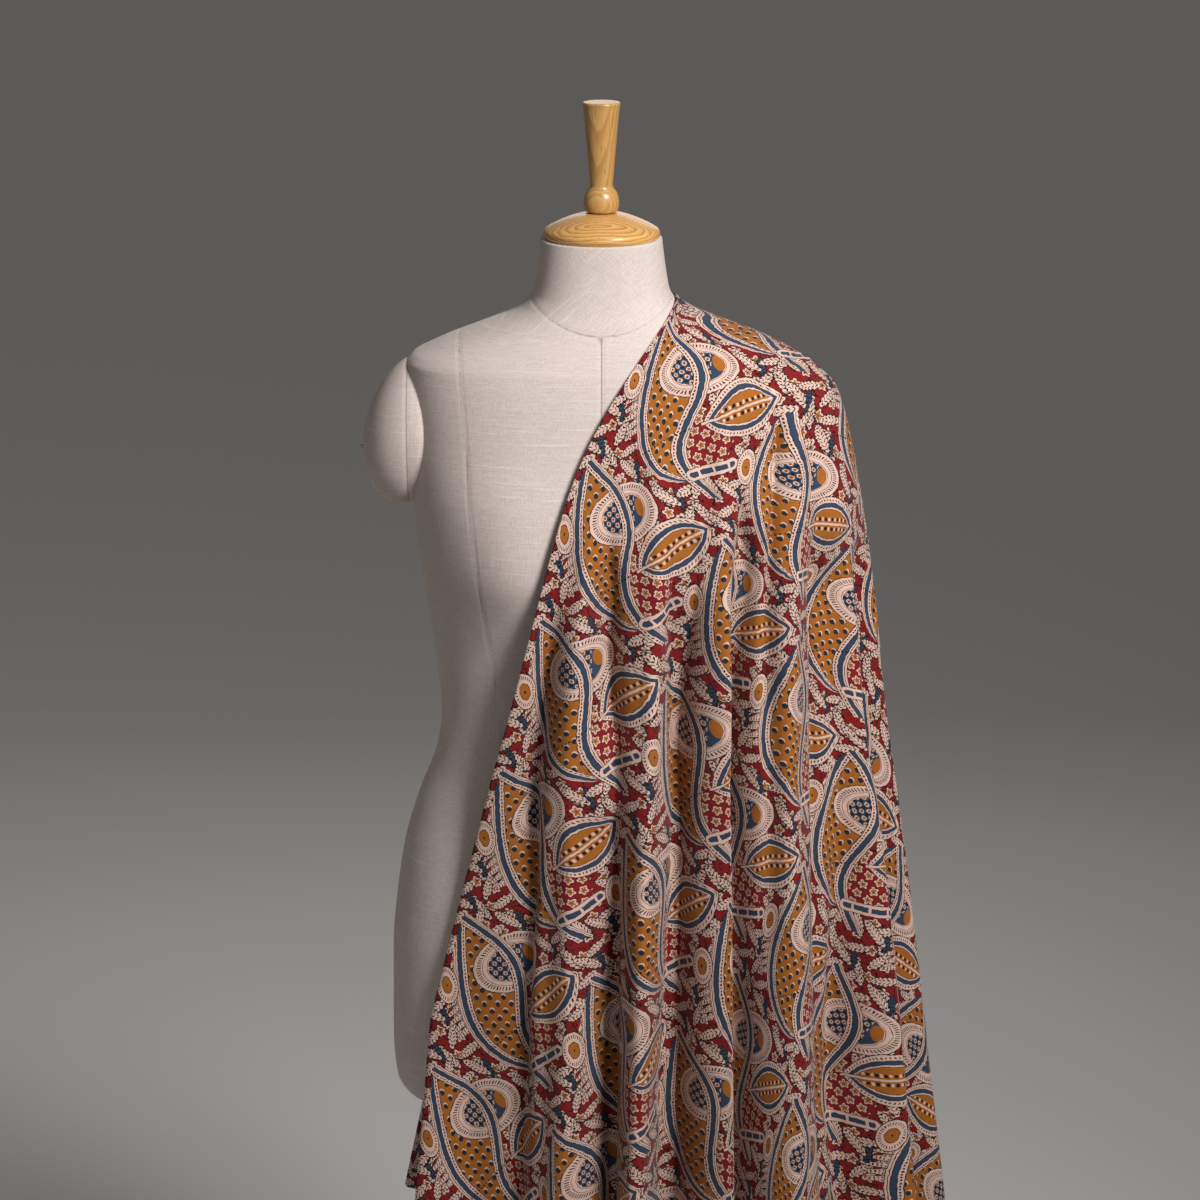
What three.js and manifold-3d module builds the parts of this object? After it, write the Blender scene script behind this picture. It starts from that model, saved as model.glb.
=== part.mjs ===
// A rectangular length of block-printed cotton draped over one shoulder of a dress form on its stand.
// Millimetres, +Z up, the front faces -Y, the origin is the middle of the foot's underside.
import * as THREE from 'three';
import { mergeVertices } from 'three/addons/utils/BufferGeometryUtils.js';
import Module from 'manifold-3d';

const wasm = await Module();
wasm.setup();

// Driving sizes
const SEAT = 0.3;               // gap where one piece rests on another
const SECTION_POWER = 2.3;      // plan sections lie between an ellipse and a rectangle
const NECK_TOP = 1532;
const TORSO_BOTTOM = 692;

// Plan sections of the covered shell: height, half width, depth to the front, depth to the back
const TORSO = [
  { z: 1532, side: 56.3, front: 54, back: 57 },
  { z: 1500, side: 60.5, front: 57, back: 61 },
  { z: 1483, side: 64, front: 60, back: 64 },
  { z: 1470, side: 74, front: 63, back: 67 },
  { z: 1462, side: 87, front: 66, back: 70 },
  { z: 1455, side: 104, front: 69, back: 74 },
  { z: 1447, side: 125, front: 73, back: 78 },
  { z: 1440, side: 144, front: 77, back: 82 },
  { z: 1432, side: 162, front: 81, back: 86 },
  { z: 1424, side: 177, front: 85, back: 90 },
  { z: 1415, side: 183, front: 89, back: 94 },
  { z: 1350, side: 180, front: 104, back: 112 },
  { z: 1284, side: 177, front: 116, back: 116 },
  { z: 1232, side: 172, front: 116, back: 112 },
  { z: 1185, side: 164, front: 110, back: 106 },
  { z: 1138, side: 157.5, front: 103, back: 101 },
  { z: 1078, side: 152.5, front: 99, back: 100 },
  { z: 1042, side: 157.5, front: 101, back: 106 },
  { z: 994, side: 175.5, front: 106, back: 120 },
  { z: 946, side: 189.5, front: 110, back: 131 },
  { z: 897, side: 197, front: 113, back: 137 },
  { z: 848, side: 201.5, front: 114, back: 140 },
  { z: 749, side: 202.5, front: 114, back: 138 },
  { z: 713, side: 199.5, front: 111, back: 134 },
  { z: 698, side: 191, front: 103, back: 125 },
  { z: 692, side: 179, front: 92, back: 113 },
];
const BUST = { x: 92, z: 1243, proud: 15, wide: 56, high: 62 };

// The rounded arm end, lofted outwards from the armhole in shares of its length
const ARM = { root: 150, hole: 181, tip: 224.3, high: 68.5, deep: 50, rootZ: 1351, tipZ: 1334 };
const ARM_ROUND = 1.8;
const ARM_SHARES = [0, 0.18, 0.36, 0.52, 0.66, 0.78, 0.87, 0.94, 0.98];

// The cloth: flat size, thickness, and where its long edge crosses the shoulder
const CLOTH = { wide: 1100, halfLong: 1040, thick: 1.6 };
const APEX = { x: 71, y: 0, z: 1479 };
const LIFT = 1.6;               // the cloth's air over the shoulder
const KEEP_OFF = 4;             // and its least air over the rest of the shell
const HIP_Z = 749;              // the shell's lowest full section,
const CLEAR_BELOW = 600;        // which the cloth keeps off down to here
const FOLD_TOP = 1300;          // no fold above this height
const FOLD_FULL = 1190;         // and full folds below this one
const BUST_Z = 1261;
const WAIST_Z = 1046;
const HIPS_Z = 800;
const LOW_Z = 631;
const EDGE_BOW = 18;            // the front edge bows towards the neck
const EDGE_REST = 52;           // how far that edge falls back onto the hip,
const REST = { fullZ: 860, fromX: 40, overX: 190 };   // from this height down and across this width
const BLEND_TOP = 1424;         // the cloth leaves the shoulder's own section below this height
const HULL_SLANT = 1.04;        // length down the hull for each unit of drop

// Depth of the folds as a share of the table's sink: it grows from shallow at the shoulder to full at a
// drop, and by hem again over the rest of the way down. None is deeper than deepest, which grows too.
const SINK = { shallow: 0.35, full: 800, hem: 1.3, hemFrom: 500, hemOver: 700 };
const DEEPEST = { above: 112, below: 182, from: 950, over: 300 };

// The smooth hull that the folds' crests lie on, below the shoulder
const HULL = [
  { z: 1412, side: 199, front: 96, back: 101 },
  { z: 1402, side: 211, front: 99, back: 105 },
  { z: 1393, side: 219, front: 102, back: 109 },
  { z: 1348, side: 233, front: 113, back: 120 },
  { z: 1279, side: 246, front: 130, back: 125 },
  { z: 1230, side: 254, front: 136, back: 127 },
  { z: 1185, side: 260, front: 140, back: 129 },
  { z: 1090, side: 270, front: 146, back: 134 },
  { z: 994, side: 284.5, front: 152, back: 143 },
  { z: 897, side: 298, front: 160, back: 152 },
  { z: 699, side: 323, front: 174, back: 167 },
  { z: 598, side: 336, front: 182, back: 174 },
  { z: 400, side: 360, front: 198, back: 190 },
  { z: 0, side: 405, front: 228, back: 220 },
];

// The folds' crests from the front edge round the arm to the back edge. Bearings on the hull in degrees,
// 0 at the side and 90 at the front, at four heights. Flat: the crest's angle on the flat cloth about
// the apex, at three heights.
const CRESTS = [
  { bust: 98.3, waist: 108.5, hips: 118.4, low: 119.2, flatBust: 0, flatWaist: 0, flatLow: 0 },    // front
  { bust: 92.5, waist: 94.1, hips: 94.3, low: 94.4, flatBust: 7, flatWaist: 11, flatLow: 12 },    // first
  { bust: 83.5, waist: 83.4, hips: 85.4, low: 86.7, flatBust: 20.5, flatWaist: 19.5, flatLow: 19.5 },// second
  { bust: 67.5, waist: 72.4, hips: 73.8, low: 74.7, flatBust: 36, flatWaist: 31.5, flatLow: 28.5 },// lap
  { bust: 51, waist: 55.4, hips: 58.4, low: 60.4, flatBust: 56, flatWaist: 49.5, flatLow: 50 },   // broad
  { bust: 20, waist: 24, hips: 25.8, low: 27, flatBust: 79, flatWaist: 66.5, flatLow: 61 },       // arm
  { bust: 3, waist: 4, hips: 4, low: 4, flatBust: 90, flatWaist: 86, flatLow: 85 },               // side
  { bust: -20, waist: -23, hips: -23.6, low: -24, flatBust: 104, flatWaist: 107, flatLow: 108 },  // back side
  { bust: -52, waist: -52, hips: -53.2, low: -54, flatBust: 124, flatWaist: 127, flatLow: 128 },  // wing
  { bust: -70, waist: -75, hips: -78, low: -80, flatBust: 143, flatWaist: 148, flatLow: 150 },    // back
  { bust: -86, waist: -94, hips: -99.9, low: -104, flatBust: 163, flatWaist: 167, flatLow: 168 }, // spine
  { bust: -98, waist: -108, hips: -115.1, low: -120, flatBust: 180, flatWaist: 180, flatLow: 180 },  // back
];

// The valley after each crest. Sink: how deep it may reach, if the cloth's slack allows it
const VALLEYS = [
  { bust: 95.6, waist: 100.7, hips: 104.7, low: 104.4, sink: 16 },// edge hollow
  { bust: 88.9, waist: 89.4, hips: 90, low: 90.4, sink: 34 }, // first hollow
  { bust: 74.6, waist: 77.5, hips: 79.5, low: 80.8, sink: 42 },// second hollow
  { bust: 60.7, waist: 69.2, hips: 71.1, low: 72.4, sink: 105 },// deep hollow
  { bust: 34.1, waist: 38.3, hips: 40.8, low: 42.6, sink: 40 },// arm hollow
  { bust: 12, waist: 14, hips: 15.2, low: 16, sink: 62 },     // side hollow
  { bust: -8, waist: -9, hips: -9, low: -9, sink: 66 },       // back side hollow
  { bust: -36, waist: -37, hips: -37.6, low: -38, sink: 70 }, // wing hollow
  { bust: -61, waist: -64, hips: -66.4, low: -68, sink: 88 }, // back hollow
  { bust: -78, waist: -84, hips: -88.7, low: -92, sink: 60 }, // spine hollow
  { bust: -92, waist: -101, hips: -107.5, low: -112, sink: 26 },// back edge hollow
];
const STEPS = 3;                // columns from a crest to its valley
const CLOTH_ROWS = 25;
const ROW_EASE = 1.8;           // rows lie closer together over the shoulder

// Turned wood, from the axis at the bottom to the axis at the top
const CAP = [
  { radius: 52.5, z: NECK_TOP + SEAT },
  { radius: 54.5, z: 1535 },
  { radius: 54.5, z: 1538 },
  { radius: 52, z: 1541 },
  { radius: 43.6, z: 1547.8 },
  { radius: 30, z: 1553.3 },
  { radius: 17, z: 1556 },
];
const FINIAL = [
  { radius: 13.9, z: 1556 + SEAT },
  { radius: 16.2, z: 1561 },
  { radius: 16.2, z: 1567 },
  { radius: 15.1, z: 1573 },
  { radius: 12.1, z: 1577.3 },
  { radius: 10.6, z: 1579.8 },
  { radius: 13.8, z: 1619.2 },
  { radius: 17.6, z: 1656.6 },
  { radius: 16.1, z: 1658.6 },
];
const FOOT = [
  { radius: 187, z: 0 },
  { radius: 190, z: 4 },
  { radius: 190, z: 20 },
  { radius: 181, z: 28 },
  { radius: 46, z: 31 },
  { radius: 34, z: 36 },
  { radius: 30, z: 50 },
];
const POLE = [
  { radius: 16, z: 50 + SEAT },
  { radius: 16, z: TORSO_BOTTOM - SEAT },
];
const PIN = [
  { radius: 3.4, z: 0 },
  { radius: 3.1, z: 1.6 },
];
const PIN_PROUD = 2.6;

const TORSO_SIDES = 44;
const ARM_SIDES = 28;
const TURNED_SIDES = 40;
const PIN_SIDES = 16;
const DROP_STEP = 10;
const BEARING_STEP = 0.02;

const LINEN = { color: 0xc9bdb0, roughness: 0.9, metalness: 0 };
const WOOD = { color: 0xc98f4a, roughness: 0.4, metalness: 0 };
const STEEL = { color: 0xc8c8c8, roughness: 0.3, metalness: 1 };
const PRINT = { color: 0x9a4a3a, roughness: 0.85, metalness: 0 };

const degrees = Math.PI / 180;
const mix = (a, b, t) => a + (b - a) * t;
const clamp = (v, low, high) => Math.min(high, Math.max(low, v));

// An even ramp from 0 to 1 with no corner at either end
function smooth(t) {
  const s = clamp(t, 0, 1);
  return s * s * (3 - 2 * s);
}

// Reads one column of a table whose rows run downwards in z
function readTable(table, column, z) {
  if (z >= table[0].z) return table[0][column];
  for (let i = 1; i < table.length; i += 1) {
    const above = table[i - 1];
    const below = table[i];
    if (z >= below.z) return mix(above[column], below[column], (above.z - z) / (above.z - below.z));
  }
  return table[table.length - 1][column];
}

// A point of a plan section whose two halves have their own depths; bearing 90 is the front
function sectionPoint(side, front, back, bearing) {
  const c = Math.cos(bearing);
  const s = Math.sin(bearing);
  const power = 2 / SECTION_POWER;
  const deep = s > 0 ? front : back;
  return [side * Math.sign(c) * Math.abs(c) ** power, -deep * Math.sign(s) * Math.abs(s) ** power];
}

function bustProud(x, z) {
  const across = (Math.abs(x) - BUST.x) / BUST.wide;
  const along = (z - BUST.z) / BUST.high;
  return BUST.proud * Math.exp(-across * across - along * along);
}

function torsoPoint(z, bearing, grow) {
  const side = readTable(TORSO, 'side', z) + grow;
  const front = readTable(TORSO, 'front', z) + grow;
  const back = readTable(TORSO, 'back', z) + grow;
  const [x, y] = sectionPoint(side, front, back, bearing);
  return [x, y < 0 ? y - bustProud(x, z) * (-y / front) : y, z];
}

function makeMesh(name, geometry, look) {
  const mesh = new THREE.Mesh(geometry, new THREE.MeshStandardMaterial(look));
  mesh.name = name;
  return mesh;
}

function geometryFrom(points, triangles) {
  const geometry = new THREE.BufferGeometry();
  geometry.setAttribute('position', new THREE.Float32BufferAttribute(points.flat(), 3));
  geometry.setIndex(triangles.flat());
  return geometry;
}

// Closed loft through rings of equal length, capped by a point in the middle of each end ring
function loft(rings) {
  const count = rings[0].length;
  const points = rings.flat();
  const middle = (ring) => [0, 1, 2].map((k) => ring.reduce((sum, p) => sum + p[k], 0) / count);
  const first = points.push(middle(rings[0])) - 1;
  const last = points.push(middle(rings[rings.length - 1])) - 1;
  const triangles = [];
  for (let i = 0; i < count; i += 1) {
    const next = (i + 1) % count;
    for (let r = 0; r + 1 < rings.length; r += 1) {
      const a = r * count;
      const b = a + count;
      triangles.push([a + i, b + i, b + next], [a + i, b + next, a + next]);
    }
    const end = (rings.length - 1) * count;
    triangles.push([first, i, next], [last, end + next, end + i]);
  }
  return geometryFrom(points, triangles);
}

// The shell's rings run from the neck down; grow makes it fatter all over
function torsoGeometry(grow) {
  const rings = TORSO.map(({ z }) => {
    const ring = [];
    for (let i = 0; i < TORSO_SIDES; i += 1) {
      ring.push(torsoPoint(z, -2 * Math.PI * i / TORSO_SIDES, grow));
    }
    return ring;
  });
  return loft(rings);
}

// hand is -1 on the viewer's left and 1 on the right
function armGeometry(hand) {
  const section = (x, scale, z) => {
    const ring = [];
    for (let i = 0; i < ARM_SIDES; i += 1) {
      const turn = -2 * Math.PI * i / ARM_SIDES * hand;
      ring.push([hand * x, ARM.deep * scale * Math.cos(turn), z + ARM.high * scale * Math.sin(turn)]);
    }
    return ring;
  };
  const rings = [section(ARM.root, 1, ARM.rootZ)];
  for (const t of ARM_SHARES) {
    const scale = Math.sqrt(1 - t ** ARM_ROUND);
    rings.push(section(mix(ARM.hole, ARM.tip, t), scale, mix(ARM.rootZ, ARM.tipZ, t)));
  }
  const geometry = loft(rings);
  const middle = geometry.attributes.position.count - 1;
  geometry.attributes.position.setX(middle, hand * ARM.tip);
  return geometry;
}

function toSolid(geometry) {
  const bare = geometry.clone();
  bare.deleteAttribute('normal');
  bare.deleteAttribute('uv');
  const merged = mergeVertices(bare);
  return new wasm.Manifold(new wasm.Mesh({
    numProp: 3,
    vertProperties: new Float32Array(merged.attributes.position.array),
    triVerts: new Uint32Array(merged.index.array),
  }));
}

function fromSolid(solid) {
  const { vertProperties, triVerts } = solid.getMesh();
  const geometry = new THREE.BufferGeometry();
  geometry.setAttribute('position', new THREE.BufferAttribute(new Float32Array(vertProperties), 3));
  geometry.setIndex(new THREE.BufferAttribute(new Uint32Array(triVerts), 1));
  return geometry;
}

// A closed turned form: the profile's rows between two points on the axis
function turnedGeometry(profile, sides, top) {
  const rows = [{ radius: 0, z: profile[0].z }, ...profile, { radius: 0, z: top }];
  return new THREE.LatheGeometry(rows.map(({ radius, z }) => new THREE.Vector2(radius, z)), sides);
}

function turned(name, profile) {
  const top = profile[profile.length - 1].z;
  const mesh = makeMesh(name, turnedGeometry(profile, TURNED_SIDES, top), WOOD);
  mesh.rotation.x = Math.PI / 2;
  return mesh;
}

// The hull at a height: over the shoulder it is the shell's own section, lifted and widened
function hullSize(z) {
  const columns = ['side', 'front', 'back'];
  const top = HULL[0].z;
  if (z <= top) return columns.map((column) => readTable(HULL, column, z));
  const blend = smooth((BLEND_TOP - z) / (BLEND_TOP - top));
  return columns.map((column) => mix(readTable(TORSO, column, z - LIFT) + LIFT, HULL[0][column], blend));
}

// Bearing of the cloth's front edge above the bust, where it runs straight but for its bow
function edgeBearing(z) {
  const [side] = hullSize(z);
  const [bustSide] = hullSize(BUST_Z);
  const bustX = bustSide * Math.cos(CRESTS[0].bust * degrees);
  const t = clamp((APEX.z - z) / (APEX.z - BUST_Z), 0, 1);
  const reach = Math.sign(bustX) * Math.abs(bustX / bustSide) ** (2 / SECTION_POWER) * bustSide;
  const x = mix(APEX.x, reach, t) - EDGE_BOW * Math.sin(Math.PI * t);
  return Math.acos(Math.sign(x) * clamp(Math.abs(x) / side, 0, 1) ** (SECTION_POWER / 2));
}

// Bearing of a crest or valley at a height; above the bust it keeps its share of the front edge's
function bearingAt(row, z) {
  if (z >= BUST_Z) return edgeBearing(z) * row.bust / CRESTS[0].bust;
  return degrees * readTable([
    { z: BUST_Z, bearing: row.bust },
    { z: WAIST_Z, bearing: row.waist },
    { z: HIPS_Z, bearing: row.hips },
    { z: LOW_Z, bearing: row.low },
    { z: 0, bearing: mix(row.hips, row.low, HIPS_Z / (HIPS_Z - LOW_Z)) },
  ], 'bearing', z);
}

function flatAt(crest, z) {
  return degrees * readTable([
    { z: BUST_Z, flat: crest.flatBust },
    { z: WAIST_Z, flat: crest.flatWaist },
    { z: LOW_Z, flat: crest.flatLow },
  ], 'flat', z);
}

function hullPoint(bearing, z) {
  const [side, front, back] = hullSize(z);
  const [x, y] = sectionPoint(side, front, back, bearing);
  const settled = smooth((BUST_Z - z) / (BUST_Z - REST.fullZ)) * smooth((REST.fromX - x) / REST.overX);
  const rest = EDGE_REST * settled;
  return [x, y < 0 ? y + rest : y - rest];
}

// Moves a point out of the shell's own section, front or back, where it would lie inside it
function keepOff(x, y, z) {
  if (z < CLEAR_BELOW || z > FOLD_TOP) return [x, y];
  const level = Math.max(z, HIP_Z);
  const side = readTable(TORSO, 'side', level) + KEEP_OFF;
  const column = y < 0 ? 'front' : 'back';
  const deep = readTable(TORSO, column, level) + KEEP_OFF + (y < 0 ? bustProud(x, z) : 0);
  if (Math.abs(x) >= side) return [x, y];
  const least = deep * (1 - (Math.abs(x) / side) ** SECTION_POWER) ** (1 / SECTION_POWER);
  return [x, Math.sign(y || -1) * Math.max(Math.abs(y), least)];
}

// Depth of a valley between two crests. The way down from one crest, its width a, and up to the next,
// its width b, are together as long as the flat cloth between the crests, unless the sink stops it.
function valleyDepth(a, b, length, sink, drop) {
  const down = (length + (a * a - b * b) / length) / 2;
  const slack = Math.sqrt(Math.max(0, down * down - a * a));
  const share = mix(SINK.shallow, 1, drop / SINK.full);
  const sunk = share * (1 + SINK.hem * smooth((drop - SINK.hemFrom) / SINK.hemOver));
  const deepest = mix(DEEPEST.above, DEEPEST.below, smooth((drop - DEEPEST.from) / DEEPEST.over));
  const grown = smooth((FOLD_TOP - APEX.z + drop) / (FOLD_TOP - FOLD_FULL));
  return Math.min(length > a + b ? slack : 0, sink * sunk, deepest) * grown;
}

// A point of the cloth: column counts crests and valleys in turn, drop is the distance below the apex
function clothPoint(column, drop) {
  const z = APEX.z - drop;
  const pair = Math.min(Math.floor(column / 2), VALLEYS.length - 1);
  const within = column - 2 * pair;
  const rows = [CRESTS[pair], VALLEYS[pair], CRESTS[pair + 1]];
  const [first, middle, last] = rows.map((row) => bearingAt(row, z));
  const [p, q, r] = [first, middle, last].map((bearing) => hullPoint(bearing, z));
  const a = Math.hypot(q[0] - p[0], q[1] - p[1]);
  const b = Math.hypot(r[0] - q[0], r[1] - q[1]);
  const flatFirst = flatAt(rows[0], z);
  const flatLast = flatAt(rows[2], z);
  const depth = valleyDepth(a, b, drop * HULL_SLANT * (flatLast - flatFirst), VALLEYS[pair].sink, drop);
  const down = Math.hypot(a, depth);
  const flatMiddle = mix(flatFirst, flatLast, down / (down + Math.hypot(b, depth)));
  const before = within < 1;
  const t = before ? within : within - 1;
  const bearing = before ? mix(first, middle, t) : mix(middle, last, t);
  const flat = before ? mix(flatFirst, flatMiddle, t) : mix(flatMiddle, flatLast, t);
  const inward = depth * (0.5 - 0.5 * Math.cos(Math.PI * within));
  const [x, y] = hullPoint(bearing, z);
  const [xa, ya] = hullPoint(bearing + BEARING_STEP, z);
  const [xb, yb] = hullPoint(bearing - BEARING_STEP, z);
  const long = Math.hypot(xa - xb, ya - yb) || 1;
  const [px, py] = keepOff(x + inward * (ya - yb) / long, y - inward * (xa - xb) / long, z);
  return { point: [px, py, z], hull: [x, y, z], flat };
}

// How far a column drops before it meets the cut edge or the far selvedge of the flat cloth
function columnDrop(column) {
  let run = 0;
  let last = [APEX.x, APEX.y, APEX.z];
  for (let drop = DROP_STEP; drop < APEX.z; drop += DROP_STEP) {
    const { hull, flat } = clothPoint(column, drop);
    run += Math.hypot(hull[0] - last[0], hull[1] - last[1], hull[2] - last[2]);
    last = hull;
    const across = run * Math.sin(flat);
    const along = run * Math.abs(Math.cos(flat));
    if (across > CLOTH.wide || along > CLOTH.halfLong) return drop;
  }
  return APEX.z;
}

// Both faces of the cloth on one grid of columns and rows that starts at the apex
function clothGeometry() {
  const columns = 2 * VALLEYS.length * STEPS + 1;
  const grid = [];
  for (let c = 0; c < columns; c += 1) {
    const column = c / STEPS;
    const most = columnDrop(column);
    const line = [];
    for (let r = 1; r <= CLOTH_ROWS; r += 1) {
      line.push(new THREE.Vector3(...clothPoint(column, most * (r / CLOTH_ROWS) ** ROW_EASE).point));
    }
    grid.push(line);
  }
  const normalAt = (c, r) => {
    const left = grid[Math.max(c - 1, 0)][r];
    const right = grid[Math.min(c + 1, columns - 1)][r];
    const up = grid[c][Math.max(r - 1, 0)];
    const down = grid[c][Math.min(r + 1, CLOTH_ROWS - 1)];
    const across = right.clone().sub(left);
    const along = down.clone().sub(up);
    return along.cross(across).normalize();
  };
  const outer = [];
  const inner = [];
  for (let c = 0; c < columns; c += 1) {
    for (let r = 0; r < CLOTH_ROWS; r += 1) {
      const p = grid[c][r];
      const q = p.clone().addScaledVector(normalAt(c, r), CLOTH.thick);
      inner.push(p.toArray());
      outer.push(q.toArray());
    }
  }
  const count = inner.length;
  const points = [...inner, ...outer];
  const innerApex = points.push([APEX.x, APEX.y, APEX.z]) - 1;
  const outerApex = points.push([APEX.x, APEX.y, APEX.z + CLOTH.thick]) - 1;
  const at = (c, r) => c * CLOTH_ROWS + r;
  const triangles = [];
  const quad = (a, b, c, d) => triangles.push([a, b, c], [a, c, d]);
  for (let c = 0; c + 1 < columns; c += 1) {
    for (let r = 0; r + 1 < CLOTH_ROWS; r += 1) {
      const a = at(c, r);
      const b = at(c, r + 1);
      const d = at(c + 1, r);
      const e = at(c + 1, r + 1);
      quad(count + a, count + b, count + e, count + d);
      quad(a, d, e, b);
    }
    triangles.push([outerApex, count + at(c, 0), count + at(c + 1, 0)]);
    triangles.push([innerApex, at(c + 1, 0), at(c, 0)]);
    const end = CLOTH_ROWS - 1;
    quad(at(c, end), at(c + 1, end), count + at(c + 1, end), count + at(c, end));
  }
  for (const [c, turn] of [[0, 1], [columns - 1, -1]]) {
    for (let r = -1; r + 1 < CLOTH_ROWS; r += 1) {
      const a = r < 0 ? innerApex : at(c, r);
      const b = at(c, r + 1);
      const outA = r < 0 ? outerApex : count + at(c, r);
      const outB = count + at(c, r + 1);
      if (turn > 0) quad(a, b, outB, outA);
      else quad(a, outA, outB, b);
    }
  }
  return geometryFrom(points, triangles);
}

const form = new THREE.Group();

const torso = torsoGeometry(0);
form.add(makeMesh('torso', torso, LINEN));
const shell = toSolid(torsoGeometry(SEAT));
for (const [name, hand] of [['arm_left', -1], ['arm_right', 1]]) {
  form.add(makeMesh(name, fromSolid(toSolid(armGeometry(hand)).subtract(shell)), LINEN));
}

const pin = makeMesh('arm_pin', turnedGeometry(PIN, PIN_SIDES, PIN_PROUD), STEEL);
pin.rotation.z = Math.PI / 2;
pin.position.set(-ARM.tip - SEAT, 0, ARM.tipZ);
form.add(pin);

form.add(turned('neck_cap', CAP));
form.add(turned('finial', FINIAL));
form.add(turned('pole', POLE));
form.add(turned('base', FOOT));
form.add(makeMesh('cloth', clothGeometry(), PRINT));

export default form;
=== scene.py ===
"""A length of block-printed cotton draped over one shoulder of a linen-covered dress form.
Metres, +Z up, the front faces -Y. Tables keep the model's millimetres and are scaled when used."""
import math

import bpy
import numpy as np
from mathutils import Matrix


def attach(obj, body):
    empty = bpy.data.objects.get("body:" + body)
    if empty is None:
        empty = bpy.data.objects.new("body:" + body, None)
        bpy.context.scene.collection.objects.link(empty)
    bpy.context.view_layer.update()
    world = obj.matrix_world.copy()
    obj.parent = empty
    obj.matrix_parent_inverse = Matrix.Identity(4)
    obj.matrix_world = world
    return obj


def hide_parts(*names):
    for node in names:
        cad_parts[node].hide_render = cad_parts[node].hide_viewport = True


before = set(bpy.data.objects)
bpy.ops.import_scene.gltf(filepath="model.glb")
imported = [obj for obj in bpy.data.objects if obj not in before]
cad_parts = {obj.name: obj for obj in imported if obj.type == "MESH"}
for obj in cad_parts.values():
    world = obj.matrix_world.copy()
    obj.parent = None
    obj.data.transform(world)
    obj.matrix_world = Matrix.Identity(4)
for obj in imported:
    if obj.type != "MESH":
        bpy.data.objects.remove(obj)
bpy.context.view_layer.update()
MM = 0.001

# Sizes shared with the model, in millimetres
POWER = 2.3                     # plan sections lie between an ellipse and a rectangle
NECK_TOP, TORSO_BOTTOM, HIP_Z = 1532, 692, 749
HEIGHT, HALF_WIDE, TO_FRONT, TO_BACK = 0, 1, 2, 3       # columns of TORSO and HULL
SECTION = (HALF_WIDE, TO_FRONT, TO_BACK)
TORSO = np.array([              # height, half width, depth to the front, depth to the back
    (1532, 56.3, 54, 57), (1500, 60.5, 57, 61), (1483, 64, 60, 64), (1470, 74, 63, 67),
    (1462, 87, 66, 70), (1455, 104, 69, 74), (1447, 125, 73, 78), (1440, 144, 77, 82),
    (1432, 162, 81, 86), (1424, 177, 85, 90), (1415, 183, 89, 94), (1350, 180, 104, 112),
    (1284, 177, 116, 116), (1232, 172, 116, 112), (1185, 164, 110, 106), (1138, 157.5, 103, 101),
    (1078, 152.5, 99, 100), (1042, 157.5, 101, 106), (994, 175.5, 106, 120), (946, 189.5, 110, 131),
    (897, 197, 113, 137), (848, 201.5, 114, 140), (749, 202.5, 114, 138), (713, 199.5, 111, 134),
    (698, 191, 103, 125), (692, 179, 92, 113)])
BUST_X, BUST_MID, BUST_PROUD, BUST_WIDE, BUST_HIGH = 92, 1243, 15, 56, 62
ARM_ROOT, ARM_HOLE, ARM_TIP = 165, 181, 224.3
ARM_HIGH, ARM_DEEP, ARM_ROOT_Z, ARM_TIP_Z, ARM_ROUND = 68.5, 50, 1351, 1334, 1.8

CLOTH_WIDE, CLOTH_HALF = 1100, 1040
APEX = np.array((71.0, 0.0, 1479.0))
LIFT, KEEP_OFF, CLEAR_BELOW = 1.6, 4, 600
FOLD_TOP, FOLD_FULL = 1300, 1190
BUST_Z, WAIST_Z, HIPS_Z, LOW_Z = 1261, 1046, 800, 631
EDGE_BOW, EDGE_REST = 18, 52
SINK_SHALLOW, SINK_FULL, HEM_SINK, HEM_FROM, HEM_OVER = 0.35, 800, 1.3, 500, 700
DEEPEST_ABOVE, DEEPEST_BELOW, DEEPEST_FROM, DEEPEST_OVER = 112, 182, 950, 300
REST_FULL_Z, REST_FROM_X, REST_OVER_X, BLEND_TOP, HULL_SLANT = 860, 40, 190, 1424, 1.04
HULL = np.array([               # the same columns
    (1412, 199, 96, 101), (1402, 211, 99, 105), (1393, 219, 102, 109), (1348, 233, 113, 120),
    (1279, 246, 130, 125), (1230, 254, 136, 127), (1185, 260, 140, 129), (1090, 270, 146, 134),
    (994, 284.5, 152, 143), (897, 298, 160, 152), (699, 323, 174, 167), (598, 336, 182, 174),
    (400, 360, 198, 190), (0, 405, 228, 220)])
BEARINGS, FLAT_ANGLES, SINK = (0, 1, 2, 3), (4, 5, 6), 4     # columns of CRESTS and VALLEYS
CRESTS = np.array([             # bearing at bust, waist, hips, low; flat angle at bust, waist, low
    (98.3, 108.5, 118.4, 119.2, 0, 0, 0), (92.5, 94.1, 94.3, 94.4, 7, 11, 12),
    (83.5, 83.4, 85.4, 86.7, 20.5, 19.5, 19.5), (67.5, 72.4, 73.8, 74.7, 36, 31.5, 28.5),
    (51, 55.4, 58.4, 60.4, 56, 49.5, 50), (20, 24, 25.8, 27, 79, 66.5, 61), (3, 4, 4, 4, 90, 86, 85),
    (-20, -23, -23.6, -24, 104, 107, 108), (-52, -52, -53.2, -54, 124, 127, 128),
    (-70, -75, -78, -80, 143, 148, 150), (-86, -94, -99.9, -104, 163, 167, 168),
    (-98, -108, -115.1, -120, 180, 180, 180)])
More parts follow.
